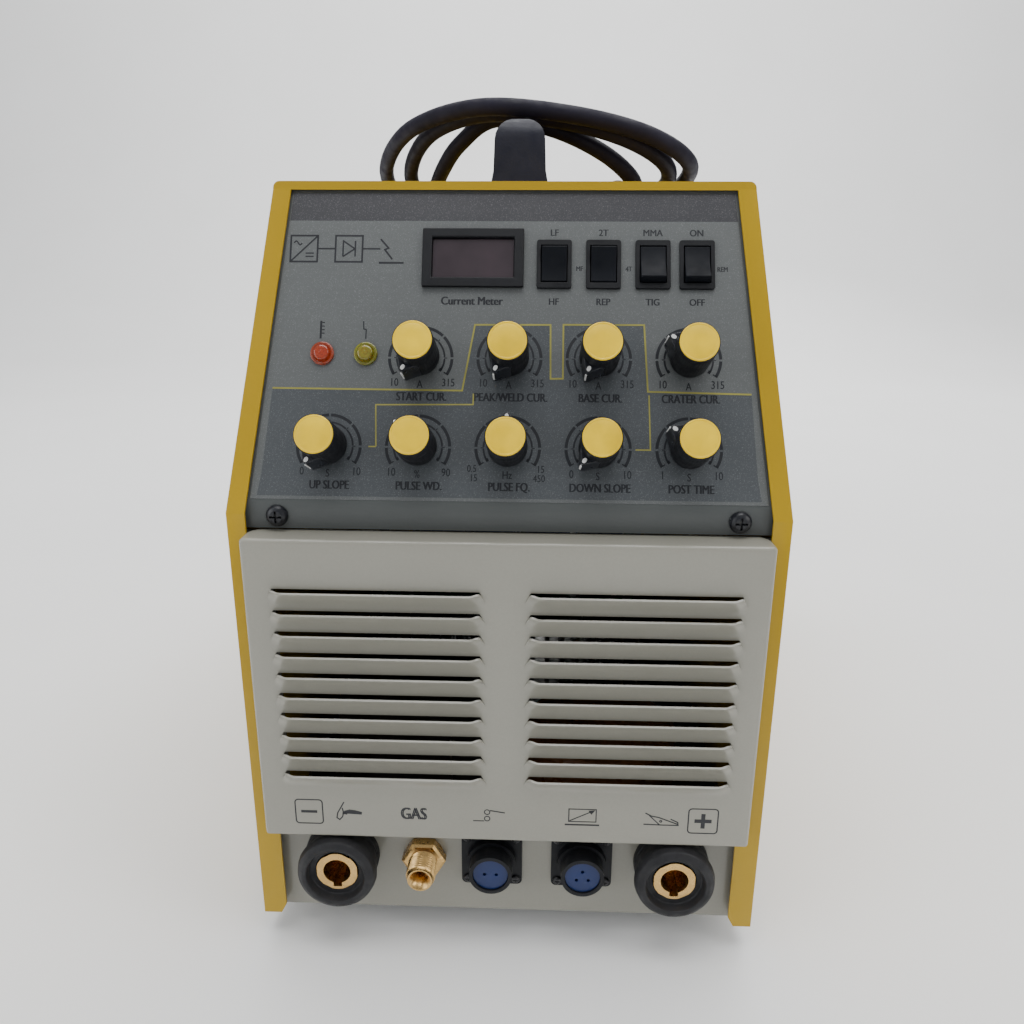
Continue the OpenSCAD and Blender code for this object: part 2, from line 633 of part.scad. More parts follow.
// ---- rear fittings ----
module fan_frame() {
    y1 = rear_y - rear_t - 0.2;
    s = fan_size / 2;
    color("black") in_place() difference() {
        along_y(rounded([[-s, fan_z - s], [s, fan_z - s], [s, fan_z + s], [-s, fan_z + s]],
            [6, 6, 6, 6]), y1 - fan_depth, y1);
        difference() {
            rod_y(0, y1 - fan_depth - 1, y1 + 1, fan_z, fan_hole);
            rod_y(0, y1 - fan_depth - 1, y1 - fan_depth + 8, fan_z, 60);
            for (a = [0:3]) translate([0, y1 - fan_depth + 4, fan_z]) rotate([0, 45 + 90 * a, 0])
                box([-4, -4, 0], [4, 0, fan_hole]);
        }
        for (i = [-1, 1], j = [-1, 1]) rod_y(i * fan_bolt, 400, 500, fan_z + j * fan_bolt, 4.4);
        rod_y(0, y1 - fan_depth + 1, y1, fan_z, 6.1);
    }
}
module fan_rotor() {
    y1 = rear_y - rear_t - 0.2;
    color("dimgray") in_place() translate([0, y1 - 4, fan_z]) rotate([90, 0, 0]) union() {
        cylinder(d = 56, h = fan_depth - 14);
        cylinder(d = 6, h = fan_depth - 7);
        for (k = [0:blade_count - 1]) rotate(360 / blade_count * k)
            translate([22, 0, (fan_depth - 14) / 2]) rotate([40, 0, 0])
                translate([0, -1, -17]) cube([44, 2, 34]);
    }
}
module fan_guard() {
    color("silver") in_place() translate([0, rear_y + 0.2, fan_z]) rotate([-90, 0, 0]) difference() {
        union() {
            for (r = [16:11:71]) rotate_extrude() translate([r, 2]) circle(d = 2, $fn = 16);
            for (a = [0:3]) rotate(45 + 90 * a) {
                translate([14, -1.2, 0]) cube([fan_bolt * sqrt(2) - 16, 2.4, 1.6]);
                translate([fan_bolt * sqrt(2), 0, 0]) cylinder(d = 9, h = 1.6);
            }
            cylinder(d = 34, h = 1.6);
        }
        for (a = [0:3]) rotate(45 + 90 * a) translate([fan_bolt * sqrt(2), 0, -1]) cylinder(d = 4.4, h = 4);
    }
}
module breaker_body() {
    w = breaker_w / 2 - 0.3;
    y1 = rear_y + 5;
    color("gainsboro") in_place() difference() {
        union() {
            box([breaker_x - w, y1 - 70, breaker_z - 40],
                [breaker_x + w, rear_y - rear_t - 0.2, breaker_z + 40]);
            box([breaker_x - w, y1 - 30, breaker_z - 22], [breaker_x + w, y1, breaker_z + 22]);
        }
        box([breaker_x - lever_w / 2 - 0.8, y1 - 14, breaker_z - 13],
            [breaker_x + lever_w / 2 + 0.8, y1 + 1, breaker_z + 13]);
    }
}
module breaker_lever() {
    y1 = rear_y + 5;
    color("black") in_place() translate([breaker_x, y1 - 6, breaker_z]) rotate([-lever_swing, 0, 0]) union() {
        translate([-lever_w / 2, 0, 0]) rotate([0, 90, 0]) cylinder(d = 10, h = lever_w);
        box([-lever_w / 2, 0, -2.5], [lever_w / 2, 17, 2.5]);
    }
}
module gas_valve() {
    color("goldenrod") in_place() difference() {
        union() {
            rod_y(inlet_x, rear_y - 12, case_d + 12, inlet_z, 12);
            translate([inlet_x, case_d + 4, inlet_z]) rotate([90, 0, 0]) cylinder(d = 22, h = 4, $fn = 6);
            for (k = [0:3]) translate([inlet_x, case_d + 12 + 4.5 * k, inlet_z]) rotate([-90, 0, 0])
                rotate_extrude() polygon([[0, 0], [5.2, 0], [4, 4.5], [0, 4.5]]);
            box([inlet_x - 14, rear_y - 42, inlet_z - 14], [inlet_x + 14, rear_y - 11, inlet_z + 14]);
            translate([inlet_x, rear_y - 26, inlet_z + 13]) cylinder(d = 24, h = 30);
            rod_y(inlet_x, valve_back, rear_y - 40, inlet_z, 7);
        }
        rod_y(inlet_x, case_d - 30, case_d + 40, inlet_z, 5);
    }
}
module cable_gland() {
    color("black") in_place() translate([gland_x, 0, gland_z]) rotate([-90, 0, 0]) union() {
        translate([0, 0, rear_y - 18]) cylinder(d = 16, h = 20);
        translate([0, 0, rear_y - rear_t - 5.2]) cylinder(d = 25, h = 5, $fn = 6);
        translate([0, 0, rear_y + 0.2]) cylinder(d = 25, h = 7, $fn = 6);
        translate([0, 0, rear_y + 7]) rotate_extrude() polygon([[0, 0], [11, 0], [11, 5], [8.5, 10],
            [8, 12], [5.6, gland_end - rear_y - 7], [0, gland_end - rear_y - 7]]);
    }
}
module power_lead() {
    color("midnightblue") in_place() tube(smooth(lead_route(), 2), lead_d / 2, lead_sides);
}
module gas_hose() { color("black") in_place() tube(smooth(HOSE, 2), hose_d / 2, 8); }

// ---- power electronics ----
module heatsink() {
    color("silver") in_place() union() {
        box([-85, 200, z_low + 60], [85, 400, z_low + 68]);
        for (k = [0:16]) box([-85 + k * 10.4, 200, z_low + 20], [-82 + k * 10.4, 400, z_low + 61]);
        for (x = [-85, 77], y = [204, 380])
            box([x, y, z_low + 1.5], [x + 8, y + 16, z_low + 21]);
    }
}
module inverter_board() {
    color("darkgreen") in_place() union() {
        box([-95, 190, z_low + 80], [95, 410, z_low + 81.6]);
        for (x = [-60, -20, 20, 60], y = [240, 340])
            box([x - 13, y - 16, z_low + 68.1], [x + 13, y + 16, z_low + 80.1]);
    }
}
module capacitors() {
    color("navy") in_place() for (x = [-60, -20, 20, 60], y = [270, 330])
        translate([x, y, z_low + 81.7]) cylinder(d = 35, h = 50);
}
module main_transformer() {
    color("brown") in_place() union() {
        box([-95, 70, z_low + 1.6], [-15, 130, z_low + 20]);
        box([-95, 70, z_low + 62], [-15, 130, z_low + 80]);
        for (x = [-95, -33]) box([x, 70, z_low + 19], [x + 18, 130, z_low + 63]);
        box([-77, 60, z_low + 20], [-33, 140, z_low + 62]);
    }
}
module output_reactor() {
    color("peru") in_place() translate([50, 100, z_low + 1.6]) rotate_extrude()
        polygon([[18, 0], [42, 0], [45, 3], [45, 47], [42, 50], [18, 50], [15, 47], [15, 3]]);
}

cover();
base_pan();
front_plate();
louver_panel();
control_panel();
panel_overlay();
rear_panel();
handle();
panel_screws();
case_screws();
feet();
socket_bodies();
socket_inserts();
gas_outlet();
connector_shells();
connector_inserts();
connector_screws();
knob(0);  // start_current_knob
knob(1);  // peak_current_knob
knob(2);  // base_current_knob
knob(3);  // crater_current_knob
knob(4);  // up_slope_knob
knob(5);  // pulse_width_knob
knob(6);  // pulse_rate_knob
knob(7);  // down_slope_knob
knob(8);  // gas_time_knob
cap(0);  // start_current_cap
cap(1);  // peak_current_cap
cap(2);  // base_current_cap
cap(3);  // crater_current_cap
cap(4);  // up_slope_cap
cap(5);  // pulse_width_cap
cap(6);  // pulse_rate_cap
cap(7);  // down_slope_cap
cap(8);  // gas_time_cap
potentiometers();
rocker(0, rocker_swing);  // pulse_range_rocker
rocker(1, rocker_swing);  // trigger_rocker
rocker(2, -rocker_swing);  // process_rocker
rocker(3, -rocker_swing);  // remote_rocker
rocker_frames();
meter_bezel();
meter_window();
heat_lamp();
power_lamp();
control_board();
fan_frame();
fan_rotor();
fan_guard();
breaker_body();
breaker_lever();
gas_valve();
gas_hose();
heatsink();
inverter_board();
capacitors();
main_transformer();
output_reactor();
cable_gland();
power_lead();
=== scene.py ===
"""Looks of a TIG welding power source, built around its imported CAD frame."""
import json
import math

import bmesh
import bpy
from mathutils import Matrix, Vector


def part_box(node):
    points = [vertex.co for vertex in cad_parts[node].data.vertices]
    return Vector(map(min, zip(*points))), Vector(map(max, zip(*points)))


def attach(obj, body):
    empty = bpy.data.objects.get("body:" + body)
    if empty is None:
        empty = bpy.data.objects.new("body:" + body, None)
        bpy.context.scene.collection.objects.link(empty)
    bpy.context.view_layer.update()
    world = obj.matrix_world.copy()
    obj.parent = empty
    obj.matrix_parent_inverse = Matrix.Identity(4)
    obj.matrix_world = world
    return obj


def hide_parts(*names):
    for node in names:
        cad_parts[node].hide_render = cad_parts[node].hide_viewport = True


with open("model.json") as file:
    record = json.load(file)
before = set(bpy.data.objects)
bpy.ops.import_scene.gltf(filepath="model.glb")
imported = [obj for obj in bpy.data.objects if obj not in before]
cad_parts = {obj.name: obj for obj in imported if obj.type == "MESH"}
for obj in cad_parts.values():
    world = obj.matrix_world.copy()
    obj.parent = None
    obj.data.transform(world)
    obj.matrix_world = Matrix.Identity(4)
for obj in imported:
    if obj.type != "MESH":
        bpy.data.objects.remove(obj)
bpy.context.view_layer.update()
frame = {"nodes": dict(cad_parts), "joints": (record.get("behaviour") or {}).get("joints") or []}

MM = 0.001
NODES = frame["nodes"]
JOINTS = {j["name"]: j for j in frame["joints"]}

# ---- camera ----
CAMERA_AT = Vector((0.01476, -0.59087, 0.32974))
CAMERA_DOWN, CAMERA_LEFT, CAMERA_ROLL = (math.radians(a) for a in (17.08, 2.06, 0.25))
camera = bpy.data.objects.new("camera", bpy.data.cameras.new("camera"))
bpy.context.scene.collection.objects.link(camera)
camera.data.lens = 29.9
camera.data.sensor_width = 36
camera.data.clip_start = 0.01
camera.matrix_world = (Matrix.Translation(CAMERA_AT) @ Matrix.Rotation(CAMERA_LEFT, 4, "Z")
                       @ Matrix.Rotation(math.pi / 2 - CAMERA_DOWN, 4, "X")
                       @ Matrix.Rotation(CAMERA_ROLL, 4, "Z"))
bpy.context.scene.camera = camera


# ---- materials ----
ORANGE_PEEL, FOIL_GRAIN = 0.00003, 0.00002     # heights of the surface, in metres


class Shader:
    """A Principled material whose colour, roughness and height come from procedural noise."""

    def __init__(self, name, rough=0.5, metal=0.0, **sockets):
        self.material = bpy.data.materials.new(name)
        self.material.use_nodes = True
        self.tree = self.material.node_tree
        self.shader = self.tree.nodes["Principled BSDF"]
        self.shader.inputs["Roughness"].default_value = rough
        self.shader.inputs["Metallic"].default_value = metal
        for socket, value in sockets.items():
            self.shader.inputs[socket.replace("_", " ")].default_value = value
        self.place = self.add("ShaderNodeTexCoord").outputs["Object"]
        self.height = None

    def add(self, kind, **facts):
        made = self.tree.nodes.new(kind)
        for key, value in facts.items():
            setattr(made, key, value)
        return made

    def link(self, out, into):
        self.tree.links.new(out, into)

    def noise(self, cells, stretch=(1, 1, 1), detail=3.0):
        """Noise with this many cells in a metre."""
        move = self.add("ShaderNodeMapping")
        move.inputs["Scale"].default_value = stretch
        self.link(self.place, move.inputs["Vector"])
        made = self.add("ShaderNodeTexNoise")
        made.inputs["Scale"].default_value = cells
        made.inputs["Detail"].default_value = detail
        self.link(move.outputs["Vector"], made.inputs["Vector"])
        return made.outputs["Fac"]

    def spread(self, value, low, high, start=0.3, end=0.7):
        made = self.add("ShaderNodeMapRange")
        for key, v in zip(("From Min", "From Max", "To Min", "To Max"), (start, end, low, high)):
            made.inputs[key].default_value = v
        self.link(value, made.inputs["Value"])
        return made.outputs["Result"]

    def mix(self, share, first, second):
        made = self.add("ShaderNodeMix", data_type="RGBA")
        for socket, value in zip((made.inputs[0], made.inputs[6], made.inputs[7]),
                                 (share, first, second)):
            if isinstance(value, bpy.types.NodeSocket):
                self.link(value, socket)
            elif isinstance(value, (int, float)):
                socket.default_value = value
            else:
                socket.default_value = (*value[:3], 1)
        return made.outputs[2]

    def colour(self, value):
        self.link(value, self.shader.inputs["Base Color"])
        return self

    def rough(self, value):
        self.link(value, self.shader.inputs["Roughness"])
        return self

    def bump(self, value, depth):
        made = self.add("ShaderNodeBump")
        made.inputs["Strength"].default_value = 1.0
        made.inputs["Distance"].default_value = depth
        self.link(value, made.inputs["Height"])
        if self.height is not None:
            self.link(self.height, made.inputs["Normal"])
        self.height = made.outputs["Normal"]
        self.link(self.height, self.shader.inputs["Normal"])
        return self


def shade(colour, by):
    return tuple(min(1, max(0, c * by)) for c in colour)


def paint(name, colour, rough, **sockets):
    """Powder coat: fine orange peel, and a colour and gloss that vary a little."""
    s = Shader(name, rough=rough, **sockets)
    wide = s.noise(14, detail=2)
    fine = s.noise(900, detail=2)
    base = s.mix(s.spread(wide, 0, 1), shade(colour, 0.96), shade(colour, 1.02))
    s.colour(s.mix(s.spread(fine, 0, 0.25), base, shade(colour, 0.86)))
    s.rough(s.spread(s.noise(45, detail=3), rough * 0.95, rough * 1.12))
    s.bump(s.noise(420, detail=1.5), ORANGE_PEEL)
    return s.material


def moulded(name, colour, rough=0.45, grain=1800, depth=0.00004, **sockets):
    """Injection moulded plastic or rubber with a fine texture and handling marks."""
    s = Shader(name, rough=rough, **sockets)
    wide = s.noise(60, detail=6)
    s.colour(s.mix(s.spread(wide, 0, 1), shade(colour, 0.82), shade(colour, 1.2)))
    s.rough(s.spread(s.noise(160, detail=5), rough * 0.8, rough * 1.3))
    s.bump(s.noise(grain, detail=2), depth)
    return s.material


def metal(name, colour, rough=0.25, stretch=(1, 1, 1), lines=900, depth=0.00002, **sockets):
    """Plated, turned or drawn metal with tool lines and faint tarnish."""
    s = Shader(name, rough=rough, metal=1.0, **sockets)
    wide = s.noise(130, detail=6)
    s.colour(s.mix(s.spread(wide, 0, 1), shade(colour, 0.86), shade(colour, 1.06)))
    marks = s.noise(lines, stretch=stretch, detail=2)
    s.rough(s.spread(marks, rough * 0.75, rough * 1.5))
    s.bump(marks, depth)
    return s.material


def sparkling(name, colour):
    """Printed foil with a brushed grain; the glints of its fine metallic flakes are painted into
    its colour as near-white specks.
    """
    s = Shader(name, rough=0.32, Coat_Weight=0.22, Coat_Roughness=0.14,
               Specular_IOR_Level=0.4)
    glint_cells = s.add("ShaderNodeTexVoronoi")
    glint_cells.inputs["Scale"].default_value = 3600
    s.link(s.place, glint_cells.inputs["Vector"])
    glint_share = s.spread(glint_cells.outputs["Color"], 0, 0.1, 0.72, 1.0)
    wide = s.noise(25, detail=2)
    base = s.mix(s.spread(wide, 0, 1), shade(colour, 0.98), shade(colour, 1.02))
    brushed = s.mix(s.spread(s.noise(700, stretch=(0.05, 1, 1), detail=2), 0, 0.16), base,
                    shade(colour, 0.7))
    # Painted glints: the picked flake cells turn near-white in the colour.
    s.colour(s.mix(glint_share, brushed, (0.95, 0.97, 1.0)))
    s.rough(s.spread(s.noise(90, detail=2), 0.3, 0.35))
    s.bump(s.noise(1500, detail=1), FOIL_GRAIN)
    return s.material


YELLOW = paint("yellow_powder_coat", (0.46, 0.285, 0.0), rough=0.38)
CREAM = paint("cream_powder_coat", (0.295, 0.287, 0.242), rough=0.24,
              Coat_Weight=0.25, Coat_Roughness=0.12)
GREY = paint("grey_panel_paint", (0.074, 0.081, 0.08), rough=0.36)
SILVER = sparkling("silver_foil", (0.106, 0.113, 0.113))
BLUE_GREY = sparkling("blue_grey_print", (0.064, 0.071, 0.077))
# Painted shadow: a darker foil colour for the band that the cover's top lip shades.
LIP_SHADOW = sparkling("painted_lip_shadow", (0.042, 0.042, 0.047))
BLACK = moulded("black_moulding", (0.005, 0.0055, 0.0075), rough=0.45, Specular_IOR_Level=0.28)
GLOSS_BLACK = moulded("gloss_black_moulding", (0.006, 0.007, 0.011), rough=0.3, depth=0.00001)
ROCKER_BLACK = moulded("rocker_moulding", (0.004, 0.005, 0.008), rough=0.5, depth=0.00001,
                       Specular_IOR_Level=0.16)
RUBBER = moulded("black_rubber", (0.007, 0.007, 0.009), rough=0.6, grain=900, depth=0.00006)
HANDLE = moulded("handle_moulding", (0.008, 0.009, 0.02), rough=0.48, grain=700, depth=0.00008,
                 Specular_IOR_Level=0.35)
SHEATH = moulded("lead_sheath", (0.012, 0.0105, 0.021), rough=0.55, grain=500, depth=0.00006,
                 Specular_IOR_Level=0.2)
CAP = moulded("yellow_cap", (0.86, 0.56, 0.0), rough=0.34, depth=0.00001,
              Coat_Weight=0.12, Coat_Roughness=0.12)
BLUE = moulded("blue_insert", (0.001, 0.014, 0.085), rough=0.36, grain=1200)
LIGHT_PLASTIC = moulded("light_grey_moulding", (0.42, 0.42, 0.40), rough=0.4)
BRASS = metal("turned_brass", (0.66, 0.43, 0.17), rough=0.27, lines=400, depth=0.000004)
STEEL = metal("plated_steel", (0.6, 0.6, 0.58), rough=0.3)
WIRE = metal("plated_wire", (0.66, 0.66, 0.67), rough=0.2)
ALUMINIUM = metal("extruded_aluminium", (0.7, 0.7, 0.71), rough=0.32, stretch=(1, 0.04, 1))
DARK_STEEL = metal("blackened_steel", (0.06, 0.06, 0.062), rough=0.34)
FERRITE = moulded("varnished_core", (0.05, 0.045, 0.04), rough=0.4, grain=300, depth=0.0002)
WINDING = moulded("varnished_winding", (0.30, 0.12, 0.04), rough=0.3, grain=300, depth=0.0003)
BOARD = moulded("circuit_board", (0.015, 0.12, 0.045), rough=0.25)
SLEEVE = moulded("capacitor_sleeve", (0.02, 0.03, 0.14), rough=0.25)
INK = moulded("black_ink", (0.006, 0.007, 0.011), rough=0.4, depth=0.00001)
YELLOW_INK = moulded("yellow_ink", (0.27, 0.25, 0.05), rough=0.35, depth=0.00001)
WHITE_INK = moulded("white_mark", (0.75, 0.75, 0.73), rough=0.35, depth=0.00001)
SMOKED = moulded("smoked_window", (0.036, 0.024, 0.03), rough=0.12, depth=0.000004,
                 Coat_Weight=0.5, Coat_Roughness=0.04)
ORANGE_LENS = moulded("orange_lens", (0.34, 0.035, 0.008), rough=0.12, depth=0.00001,
                      Subsurface_Weight=0.3, Coat_Weight=0.6, Coat_Roughness=0.05)
GREEN_LENS = moulded("green_lens", (0.17, 0.14, 0.01), rough=0.12, depth=0.00001,
                     Subsurface_Weight=0.3, Coat_Weight=0.6, Coat_Roughness=0.05)
CORES = [moulded("core_" + n, c, rough=0.35) for n, c in
         (("brown", (0.16, 0.05, 0.02)), ("blue", (0.02, 0.08, 0.4)), ("green", (0.08, 0.3, 0.05)))]
COPPER = metal("copper_strands", (0.75, 0.35, 0.18), rough=0.3, stretch=(1, 1, 0.1))


# ---- mesh helpers ----
WELD, FLAT = 2e-6, math.radians(0.6)           # in metres; angle that still counts as flat
SHORTEST_MITRE = 0.35                          # keeps a sharp corner of a line from spiking


def finish_mesh(name, bm, material, body="root", replaces=(), smooth=40):
    """Turns a bmesh in world metres into a piece that rides on a body."""
    bmesh.ops.recalc_face_normals(bm, faces=bm.faces)
    limit = math.radians(smooth)
    for f in bm.faces:
        f.smooth = True
    for e in bm.edges:
        e.smooth = len(e.link_faces) == 2 and e.calc_face_angle(0) < limit
    mesh = bpy.data.meshes.new(name)
    bm.to_mesh(mesh)
    bm.free()
    mesh.materials.append(material)
    piece = bpy.data.objects.new(name, mesh)
    bpy.context.scene.collection.objects.link(piece)
    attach(piece, body)
    if replaces:
        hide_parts(*replaces)
    return piece


def copied(node):
    """The CAD node's mesh as a bmesh, welded and with its flat faces merged."""
    bm = bmesh.new()
    bm.from_mesh(NODES[node].data)
    bmesh.ops.remove_doubles(bm, verts=bm.verts, dist=WELD)
    bmesh.ops.dissolve_limit(bm, angle_limit=FLAT, verts=bm.verts, edges=bm.edges)
    return bm


def softened(node, width, material, segments=2, sharp=28, name=None, body="root"):
    """A copy of the CAD node whose sharp edges are rounded by width millimetres."""
    piece = finish_mesh(name or node + "_shape", copied(node), material, body, [node])
    bevel = piece.modifiers.new("edges", "BEVEL")
    bevel.width = width * MM
    bevel.segments = segments
    bevel.limit_method = "ANGLE"
    bevel.angle_limit = math.radians(sharp)
    bevel.use_clamp_overlap = True
    bevel.harden_normals = True
    return piece


def lathe(bm, outline, place, around=64, ripple=None):
    """Turns an outline of (radius, height) in mm about the axis of place; closed on the axis."""
    rings = []
    for r, h in outline:
        if r < 1e-6:
            rings.append([bm.verts.new(place(0, 0, h))])
            continue
        ring = []
        for k in range(around):
            a = 2 * math.pi * k / around
            q = r + (ripple(a, r, h) if ripple else 0)
            ring.append(bm.verts.new(place(q * math.cos(a), q * math.sin(a), h)))
        rings.append(ring)
    for low, high in zip(rings, rings[1:]):
        for k in range(around):
            m = (k + 1) % around
            if len(low) == 1 and len(high) == 1:
                continue
            if len(low) == 1:
                bm.faces.new([low[0], high[m], high[k]])
            elif len(high) == 1:
                bm.faces.new([low[k], low[m], high[0]])
            else:
                bm.faces.new([low[k], low[m], high[m], high[k]])


def arc(cx, cy, r, start, end, n=5):
    """Points of an arc, in an outline; angles in degrees."""
    return [(cx + r * math.cos(math.radians(start + (end - start) * i / n)),
             cy + r * math.sin(math.radians(start + (end - start) * i / n))) for i in range(n + 1)]


def prism(bm, outline, place, low, high):
    """A flat closed solid over an outline of (x, y) in mm, between two heights."""
    rings = [[bm.verts.new(place(x, y, h)) for x, y in outline] for h in (low, high)]
    bm.faces.new(rings[0])
    bm.faces.new(rings[1])
    n = len(outline)
    for i in range(n):
        j = (i + 1) % n
        bm.faces.new([rings[0][i], rings[0][j], rings[1][j], rings[1][i]])


def stroke(bm, points, width, place, low, high, closed=False):
    """A line of ink with mitred corners, as a closed solid."""
    pts = [Vector(p) for p in points]
    n = len(pts)
    cross = []
    for i, p in enumerate(pts):
        before = pts[i - 1] if i or closed else None
        after = pts[(i + 1) % n] if i < n - 1 or closed else None
        a = (p - before).normalized() if before is not None else (after - p).normalized()
        b = (after - p).normalized() if after is not None else a
        side = Vector((-a.y - b.y, a.x + b.x)).normalized()
        reach = width / 2 / max(SHORTEST_MITRE, side.dot(Vector((-a.y, a.x))))
        cross.append((p + side * reach, p - side * reach))
    rows = [[bm.verts.new(place(q.x, q.y, h)) for h in (low, high) for q in c] for c in cross]
    count = n if closed else n - 1
    for i in range(count):
        a, b = rows[i], rows[(i + 1) % n]
        for k, m in ((0, 1), (1, 3), (3, 2), (2, 0)):
            bm.faces.new([a[k], a[m], b[m], b[k]])
    if not closed:
        for r in (rows[0], rows[-1]):
            bm.faces.new([r[0], r[1], r[3], r[2]])


def words(bm, text, x, y, size, place, low, high, narrow=0.78, bold=0.0):
    """Generic lettering, centred at (x, y), as closed solids; bold is the added stem width."""
    curve = bpy.data.curves.new("letters", "FONT")
    curve.body = text
    curve.size = size
    curve.align_x, curve.align_y = "CENTER", "CENTER"
    curve.extrude = 0.5
    curve.resolution_u = 3
    letters = bpy.data.objects.new("letters", curve)
    bpy.context.scene.collection.objects.link(letters)
    bpy.context.view_layer.update()
    for shift in (-bold / 2, bold / 2) if bold else (0,):
        mesh = bpy.data.meshes.new_from_object(letters)
        for v in mesh.vertices:
            # The shifted copies differ a little in height, so no two faces share a plane.
            v.co = place(x + v.co.x * narrow + shift, y + v.co.y,
                         low if v.co.z < 0 else high + shift * 0.02)
        bm.from_mesh(mesh)
        bpy.data.meshes.remove(mesh)
    bpy.data.objects.remove(letters)
    bmesh.ops.remove_doubles(bm, verts=bm.verts, dist=1e-7)


def curve_piece(name, points, radius, material):
    """A round cord through points in metres, on the case's own body."""
    curve = bpy.data.curves.new(name, "CURVE")
    curve.dimensions = "3D"
    spline = curve.splines.new("POLY")
    spline.points.add(len(points) - 1)
    for p, q in zip(spline.points, points):
        p.co = (*q, 1)
    curve.bevel_depth = radius
    curve.bevel_resolution = 6
    curve.use_fill_caps = True
    curve.materials.append(material)
    piece = bpy.data.objects.new(name, curve)
    bpy.context.scene.collection.objects.link(piece)
    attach(piece, "root")
    return piece


# ---- places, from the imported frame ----
DIAL = {n[:-5]: j for n, j in JOINTS.items() if n.endswith("_turn")}
X, Y, Z = (Vector(v) for v in ((1, 0, 0), (0, 1, 0), (0, 0, 1)))
OUT = Vector(DIAL["pulse_rate"]["axis"])       # out of the tilted panel
UP = OUT.cross(X)                              # up its slope
FOIL = 0.3                                     # thickness of the printed foil, mm
MIDDLE_ROW, UPPER_ROW = 24.3, 63.7             # dial rows above the panel's bend, mm
BEND = Vector(DIAL["pulse_rate"]["pos_m"]) - UP * MIDDLE_ROW * MM


def on_panel(x, s, h):
    return BEND + (X * x + UP * s + OUT * h) * MM


def facing(y):
    """A place function on an upright face that looks to the front, at depth y in metres."""
    return lambda x, z, h: Vector((x * MM, y - h * MM, z * MM))


def about(origin, across, up, out):
    """A place function from three directions and an origin, in mm."""
    return lambda a, b, h: origin + (across * a + up * b + out * h) * MM


# ---- power lead ----
CASE_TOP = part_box("cover")[1].z / MM
CASE_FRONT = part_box("cover")[0].y / MM
LEAD_D = 10.0
# Listed points from the strain relief to the case top, in mm from the case's front edge.
LEAD = [(64, 520, 276), (64, 527, 276), (64, 534, 276), (64, 556, 281.9), (65, 572.1, 298),
        (66, 578, 320), (68, 577, 344), (70, 571, 366), (74, 556, 382), (80, 533, 389),
        (87, 492, 385), (95, 446, 373), (101.5, 398, 365.2), (103.5, 344, 364.8)]
# Loose loops over the handle: radii, rise and its fading angles, turn by turn.
LOOP_RX = (106.5, 93.5, 72, 60)
LOOP_RY = (110, 98, 85, 74)
LOOP_RISE = (47, 45.5, 43.5, 43.5)
PEAK_LEFT = (110, 112, 106, 100)
PEAK_RIGHT = (150, 150, 122, 120)
LEAD_TAIL = [(-41, 248, 395), (-55, 270, 381), (-64, 299, 369), (-68, 332, 364.6)]
LOOP_MIDDLE = (0, 311)
LOOP_STEPS, LOOP_COUNT, LOOP_START, LOOP_PEAK = 12, 28, 15, -105
LOOP_FORE, LOOP_BACK = 70, 8                   # right ends drawn forward, left ends pushed back


def between(values, k):
    i = min(int(k), len(values) - 2)
    return values[i] + (values[i + 1] - values[i]) * (k - i)


def loop_point(k):
    a = LOOP_START - 360 * k
    d = (a - LOOP_PEAK + 180) % 360 - 180
    w = between(PEAK_RIGHT if d > 0 else PEAK_LEFT, k)
    rise = (1 + math.cos(math.pi * min(abs(d) / w, 1))) / 2
    c, s = math.cos(math.radians(a)), math.sin(math.radians(a))
    return (LOOP_MIDDLE[0] + between(LOOP_RX, k) * c,
            LOOP_MIDDLE[1] + between(LOOP_RY, k) * s + (-LOOP_FORE if c > 0 else LOOP_BACK) * c * c,
            CASE_TOP + LEAD_D / 2 + 0.3 + between(LOOP_RISE, k) * rise)


def smooth(points, n):
    """Catmull-Rom line through points, with n steps between two of them."""
    out, last = [], len(points) - 1
    for i in range(last):
        a, b, c, d = (points[max(i - 1, 0)], points[i], points[i + 1], points[min(i + 2, last)])
        for k in range(n):
            t = k / n
            out.append((b * 2 + (c - a) * t + (a * 2 - b * 5 + c * 4 - d) * t * t
                        + (b * 3 - a - c * 3 + d) * t ** 3) / 2)
    return out + [points[last]]


route = [Vector(p) for p in LEAD + [loop_point(i / LOOP_STEPS) for i in range(LOOP_COUNT + 1)]
         + LEAD_TAIL]
route = [Vector((p.x, p.y + CASE_FRONT, p.z)) * MM for p in route]
line = smooth(route, 8)
lead = curve_piece("power_lead_sheath", line, LEAD_D / 2 * MM, SHEATH)
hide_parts("power_lead")

# Three bare cores show at the cut end of the sheath.
CORE_R, CORE_OFF, CORE_REACH = 1.7, 2.2, 26    # radius, distance from the middle, length
STRANDS_R, STRANDS_REACH = 1.1, 8
end = line[-1]
ahead = (line[-1] - line[-4]).normalized()
aside = ahead.cross(Z).normalized()
core_pieces = []
for k, material in enumerate(CORES):
    turn = math.radians(90 + 120 * k)
    off = (aside * math.cos(turn) + Z * math.sin(turn)) * CORE_OFF * MM
    start = end + off - ahead * 2 * MM
    run = [start + ahead * t * CORE_REACH * MM - aside * (t * t) * (7 + 2 * k) * MM
           + off * 0.6 * t for t in (i / 8 for i in range(9))]
    core = curve_piece("lead_core_%d" % (k + 1), run, CORE_R * MM, material)
    on = (run[-1] - run[-2]).normalized() * MM
    bare = curve_piece("lead_strands_%d" % (k + 1), [run[-1] - on, run[-1] + on * STRANDS_REACH],
                       STRANDS_R * MM, COPPER)
    core_pieces += [core, bare]

gland = bmesh.new()
GLAND = about(Vector((LEAD[0][0] * MM, (LEAD[0][1] + CASE_FRONT) * MM, LEAD[0][2] * MM)), X, Z, Y)


def six_sided(a, r, h):
    """Makes the strain relief's collar hexagonal where it is wide."""
    if r < 11.8:
        return 0
    return r * (math.cos(math.pi / 6) / math.cos((a % (math.pi / 3)) - math.pi / 6) - 0.96)


